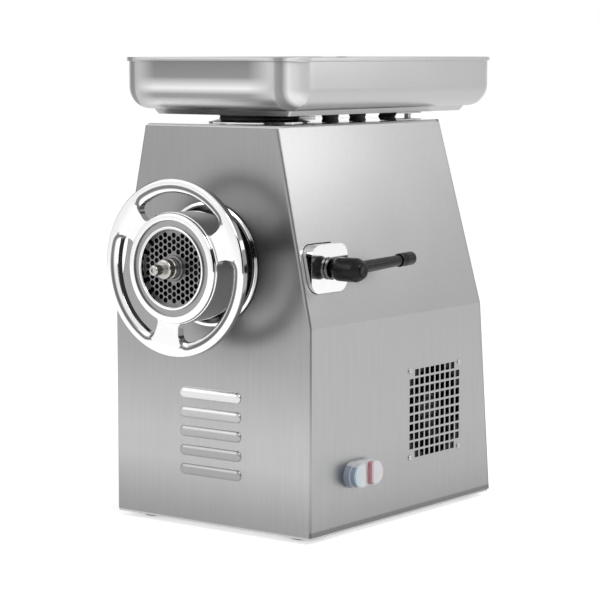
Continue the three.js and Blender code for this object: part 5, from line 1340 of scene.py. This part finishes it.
class GRINDER_OT_buttons(bpy.types.Operator):
    """Build the twin push button with its two caps and its clear cover"""
    bl_idname = "grinder.buttons"
    bl_label = "Build push buttons"

    def execute(self, context):
        centre = (0, BUTTON_Y, BUTTON_Z)
        length, height = BUTTON_PLATE
        inset = BOOT_WALL + GAP
        housing = lozenge(
            "button_bezel_moulded", "X", BEZEL_X, BEZEL_FACE, centre,
            (height - 2 * inset, length - 2 * inset), height / 2 - inset - 0.02 * MM, 12)
        for side in (-1, 1):
            cut(housing, button_half(
                "pocket", side, BOOT_WALL, BEZEL_X + 1.2 * MM, BEZEL_FACE + 5 * MM, MM))
        sleeve_end = HALF_WIDTH - 12.4 * MM
        sleeve = turned(
            "sleeve", [(11.4 * MM, sleeve_end - MM), (11.4 * MM, BEZEL_X + 0.6 * MM)],
            "X", centre, SMALL_ROUND, closed=False)
        weld(housing, sleeve)
        block = bar(
            "contacts",
            ORIGIN + Vector((sleeve_end - 22.7 * MM, BUTTON_Y - 20.65 * MM, BUTTON_Z - 14.45 * MM)),
            ORIGIN + Vector((sleeve_end, BUTTON_Y + 20.65 * MM, BUTTON_Z + 14.45 * MM)))
        weld(housing, block)
        bevel(housing, 0.5 * MM, 3, 50)
        dress(housing, FINISHES["grey"], "grey_plastic", "machine", "button_housing")
        for side, finish in ((-1, "blue"), (1, "red")):
            second_finish(housing, FINISHES[finish], lambda centre, normal: (
                side * normal.y > 0.35 and centre.x > ORIGIN.x + BEZEL_X))

        foot = BEZEL_X + 4.1 * MM
        for side, name, finish, slot, body in (
                (-1, "start_button", "blue", "blue_plastic", "start"),
                (1, "stop_button", "red", "red_plastic", "stop")):
            button = button_half(name + "_moulded", side, inset, foot, BUTTON_FACE, 2.4 * MM)
            dress(button, FINISHES[finish], slot, body, name)
            # Painted highlight: the front faces of the caps get the pale copy of their colour
            second_finish(button, FINISHES[finish + "_face"], lambda centre, normal: normal.x > 0.8)

        start = BEZEL_X
        skirt = BEZEL_FACE + 2.2 * MM
        cover = lozenge(
            "button_cover_clear", "X", start, skirt, centre, (height, length),
            height / 2 - 0.02 * MM, 12)
        for side in (-1, 1):
            weld(cover, button_half("dome", side, 0, start + 0.2 * MM, BOOT_TOP, 3 * MM))
        bevel(cover, 0.5 * MM, 2, 40)
        inner = lozenge(
            "cover_hollow", "X", start - 3 * MM, skirt - BOOT_WALL, centre,
            (height - 2 * BOOT_WALL, length - 2 * BOOT_WALL), height / 2 - BOOT_WALL - 0.02 * MM, 12)
        for side in (-1, 1):
            weld(inner, button_half(
                "dome_hollow", side, BOOT_WALL, start - 2.5 * MM, BOOT_TOP - BOOT_WALL, 2 * MM))
        cut(cover, inner)
        dress(cover, FINISHES["clear"], "clear_silicone", "machine", "button_boot")
        second_finish(cover, FINISHES["clear_wall"], lambda centre, normal: abs(normal.y) > 0.6)
        return {"FINISHED"}


class GRINDER_PG_tray(bpy.types.PropertyGroup):
    """Sizes of the tray."""
    half_width: FloatProperty(
        name="Half width", description="Half the width across the tray's walls",
        unit="LENGTH", default=132.4 * MM)
    corner: FloatProperty(
        name="Corner radius", description="Radius of the tray's corners seen from above",
        unit="LENGTH", default=37.2 * MM)
    rim: FloatProperty(
        name="Rim", description="How far the rolled rim stands out", unit="LENGTH", default=2.68 * MM)


TRAY_FRONT, TRAY_REAR = -11.4 * MM, 410.7 * MM
TRAY_BOTTOM, TRAY_TOP = 479.9 * MM, 546.7 * MM
TRAY_BEND = 25.8 * MM
TRAY_STEP, TRAY_SHELF, TRAY_RUN = 6.2 * MM, 3.1 * MM, 6.2 * MM
TRAY_SHEET = 1.5 * MM
RIM_HEIGHT = 4.7 * MM
PORT_Y = 93.9 * MM


def step_in(distance, drop):
    """Insets the picked face and moves it along its normal, or only moves it."""
    if abs(distance) > MERGE:
        bpy.ops.mesh.inset(thickness=abs(distance), depth=drop, use_even_offset=True)
    else:
        bpy.ops.mesh.extrude_region_shrink_fatten(
            TRANSFORM_OT_shrink_fatten={"value": drop})


class GRINDER_OT_tray(bpy.types.Operator):
    """Press the tray out of its rolled rim, with its sunk floor and its throat"""
    bl_idname = "grinder.tray"
    bl_label = "Build tray"

    def execute(self, context):
        tray = context.scene.grinder_tray
        out = tray.half_width + tray.rim
        rim_foot = TRAY_TOP - RIM_HEIGHT
        piece = bar(
            "tray_pressed",
            ORIGIN + Vector((-out, TRAY_FRONT - tray.rim, rim_foot)),
            ORIGIN + Vector((out, TRAY_REAR + tray.rim, TRAY_TOP)))
        edit(piece)
        pick_edges(piece, lambda a, b: abs(a.z - b.z) > MM)
        bpy.ops.mesh.bevel(offset=tray.corner + tray.rim, segments=14, affect="EDGES")
        shelf = -TRAY_BEND - TRAY_SHELF
        shelf_z = TRAY_BOTTOM + TRAY_STEP
        curve_z = shelf_z + TRAY_BEND

        def bend(radius, steps=10):
            turns = [math.pi / 2 * (1 - i / steps) for i in range(steps + 1)]
            return [(-TRAY_BEND + radius * math.sin(t), curve_z - radius * math.cos(t)) for t in turns]

        step = [
            (shelf, 0), (shelf - 0.8 * MM, -0.25 * MM), (shelf - TRAY_RUN + 0.8 * MM, -TRAY_STEP + 0.25 * MM),
            (shelf - TRAY_RUN, -TRAY_STEP), (shelf - TRAY_RUN - 2 * MM, -TRAY_STEP),
        ]
        outside = [(tray.rim, rim_foot), (0.4 * MM, rim_foot), (0, rim_foot - 0.4 * MM), *bend(TRAY_BEND)]
        outside += [(offset, shelf_z + rise) for offset, rise in step]
        inside = [
            (tray.rim, TRAY_TOP), (-TRAY_SHEET + 1.24 * MM, TRAY_TOP),
            (-TRAY_SHEET + 0.4 * MM, TRAY_TOP - 0.35 * MM), (-TRAY_SHEET, TRAY_TOP - 1.24 * MM),
            *bend(TRAY_BEND - TRAY_SHEET)]
        inside += [(offset, shelf_z + TRAY_SHEET + rise) for offset, rise in step]
        for direction, levels in ((-1, outside), (1, inside)):
            pick_faces(piece, lambda centre, normal: normal.z * direction > 0.9)
            for (before, from_z), (after, to_z) in zip(levels, levels[1:]):
                step_in(before - after, (to_z - from_z) * direction)
        bpy.ops.mesh.select_all(action="SELECT")
        bpy.ops.mesh.remove_doubles(threshold=MERGE)
        leave_edit()

        throat = turned(
            "throat", [(40.8 * MM, TRAY_BOTTOM - 36.1 * MM), (40.8 * MM, TRAY_BOTTOM + 0.75 * MM)],
            "Z", (0, PORT_Y, 0), MEDIUM_ROUND, closed=False)
        weld(piece, throat)
        hole = turned(
            "throat_hole", [(39.2 * MM, TRAY_BOTTOM - 50 * MM), (39.2 * MM, TRAY_BOTTOM + 20 * MM)],
            "Z", (0, PORT_Y, 0), MEDIUM_ROUND, closed=False)
        cut(piece, hole)
        bevel(piece, 1.0 * MM, 3, 60)
        # The tray's finish carries painted reflection bands
        dress(piece, FINISHES["tray"], "tray_steel", "tray", "tray", angle=40)
        # Painted reflections on the tray's rounded corners
        second_finish(piece, FINISHES["tray_corner"], lambda centre, normal: (
            min(abs(normal.x), abs(normal.y)) > 0.2))
        return {"FINISHED"}


class GRINDER_OT_supports(bpy.types.Operator):
    """Turn the feed duct, its seal and the buffers under the tray"""
    bl_idname = "grinder.supports"
    bl_label = "Build duct and buffers"

    def execute(self, context):
        centre = (0, PORT_Y, 0)
        foot, seat = AXIS_Z + 78.7 * MM, CABINET_TOP + GAP
        profile = [
            (41.2 * MM, foot), (43 * MM, foot), (43 * MM, seat), (60.4 * MM, seat),
            *arc(59.8 * MM, seat + 0.84 * MM, 0.6 * MM, 0, 80, 3), (55 * MM, seat + 2.4 * MM),
            (49.5 * MM, seat + 3.9 * MM), (48.5 * MM, seat + 4.1 * MM), (41.2 * MM, seat + 4.1 * MM),
        ]
        duct = turned("feed_duct_turned", profile, "Z", centre, MEDIUM_ROUND)
        dress(duct, FINISHES["polished"], "plain_steel", "machine", "feed_duct")
        low = CABINET_TOP + 4.1 * MM + 2 * GAP
        high = TRAY_BOTTOM - GAP
        middle = (low + high) / 2
        profile = [
            (41.2 * MM, low), (47.5 * MM, low), (47.5 * MM, middle - 0.7 * MM), (46.3 * MM, middle),
            (47.5 * MM, middle + 0.7 * MM), (47.5 * MM, high), (41.2 * MM, high),
        ]
        seal = turned("throat_seal_moulded", profile, "Z", centre, MEDIUM_ROUND)
        dress(seal, FINISHES["rubber"], "black_rubber", "machine", "throat_seal")
        for i in range(1, 5):
            corner_low, corner_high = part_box(f"tray_buffer_{i}")
            spot = (corner_low + corner_high) / 2 - ORIGIN
            bottom, top = corner_low.z - ORIGIN.z, corner_high.z - ORIGIN.z
            radius = (corner_high.x - corner_low.x) / 2
            waist = (bottom + top) / 2
            profile = [
                (radius - 0.4 * MM, bottom), (radius, bottom + 0.4 * MM), (radius, waist - 2 * MM),
                (radius - 0.7 * MM, waist - 1 * MM), (radius - 0.7 * MM, waist + 1 * MM),
                (radius, waist + 2 * MM), *arc(radius - 1 * MM, top - 1 * MM, 1 * MM, 0, 90, 4),
                (4 * MM, top), (3 * MM, top - 1 * MM), (0.5 * MM, top - 1 * MM),
            ]
            buffer = turned(
                f"tray_buffer_moulded_{i}", profile, "Z", (spot.x, spot.y, 0), SMALL_ROUND, closed=False)
            dress(buffer, FINISHES["rubber"], "black_rubber", "machine", f"tray_buffer_{i}")
        return {"FINISHED"}


OPERATORS = (
    GRINDER_OT_finishes, GRINDER_OT_kept_nodes, GRINDER_OT_casing, GRINDER_OT_feet,
    GRINDER_OT_ring_nut, GRINDER_OT_cutting_plate, GRINDER_OT_barrel, GRINDER_OT_clamp,
    GRINDER_OT_buttons, GRINDER_OT_supports, GRINDER_OT_tray, GRINDER_OT_stage,
)
SETTINGS = {
    "grinder_finishes": GRINDER_PG_finishes,
    "grinder_cabinet": GRINDER_PG_cabinet,
    "grinder_head": GRINDER_PG_head,
    "grinder_clamp": GRINDER_PG_clamp,
    "grinder_tray": GRINDER_PG_tray,
    "grinder_stage": GRINDER_PG_stage,
}


class GRINDER_PT_panel(bpy.types.Panel):
    """Lists the grinder's settings and the buttons that build its pieces"""
    bl_idname = "GRINDER_PT_panel"
    bl_label = "Electric meat grinder"
    bl_space_type = "VIEW_3D"
    bl_region_type = "UI"
    bl_category = "Grinder"

    def draw(self, context):
        for attribute in SETTINGS:
            settings = getattr(context.scene, attribute)
            box = self.layout.box()
            for name in settings.bl_rna.properties.keys():
                if name not in ("name", "rna_type"):
                    box.prop(settings, name)
        for operator in OPERATORS:
            self.layout.operator(operator.bl_idname)


def register():
    for group in SETTINGS.values():
        bpy.utils.register_class(group)
    for operator in OPERATORS:
        bpy.utils.register_class(operator)
    bpy.utils.register_class(GRINDER_PT_panel)
    for attribute, group in SETTINGS.items():
        setattr(bpy.types.Scene, attribute, PointerProperty(type=group))


def unregister():
    for attribute in SETTINGS:
        delattr(bpy.types.Scene, attribute)
    bpy.utils.unregister_class(GRINDER_PT_panel)
    for operator in reversed(OPERATORS):
        bpy.utils.unregister_class(operator)
    for group in reversed(list(SETTINGS.values())):
        bpy.utils.unregister_class(group)


def main():
    register()
    for operator in OPERATORS:
        group, action = operator.bl_idname.split(".")
        getattr(getattr(bpy.ops, group), action)()


if __name__ == "__main__":
    main()
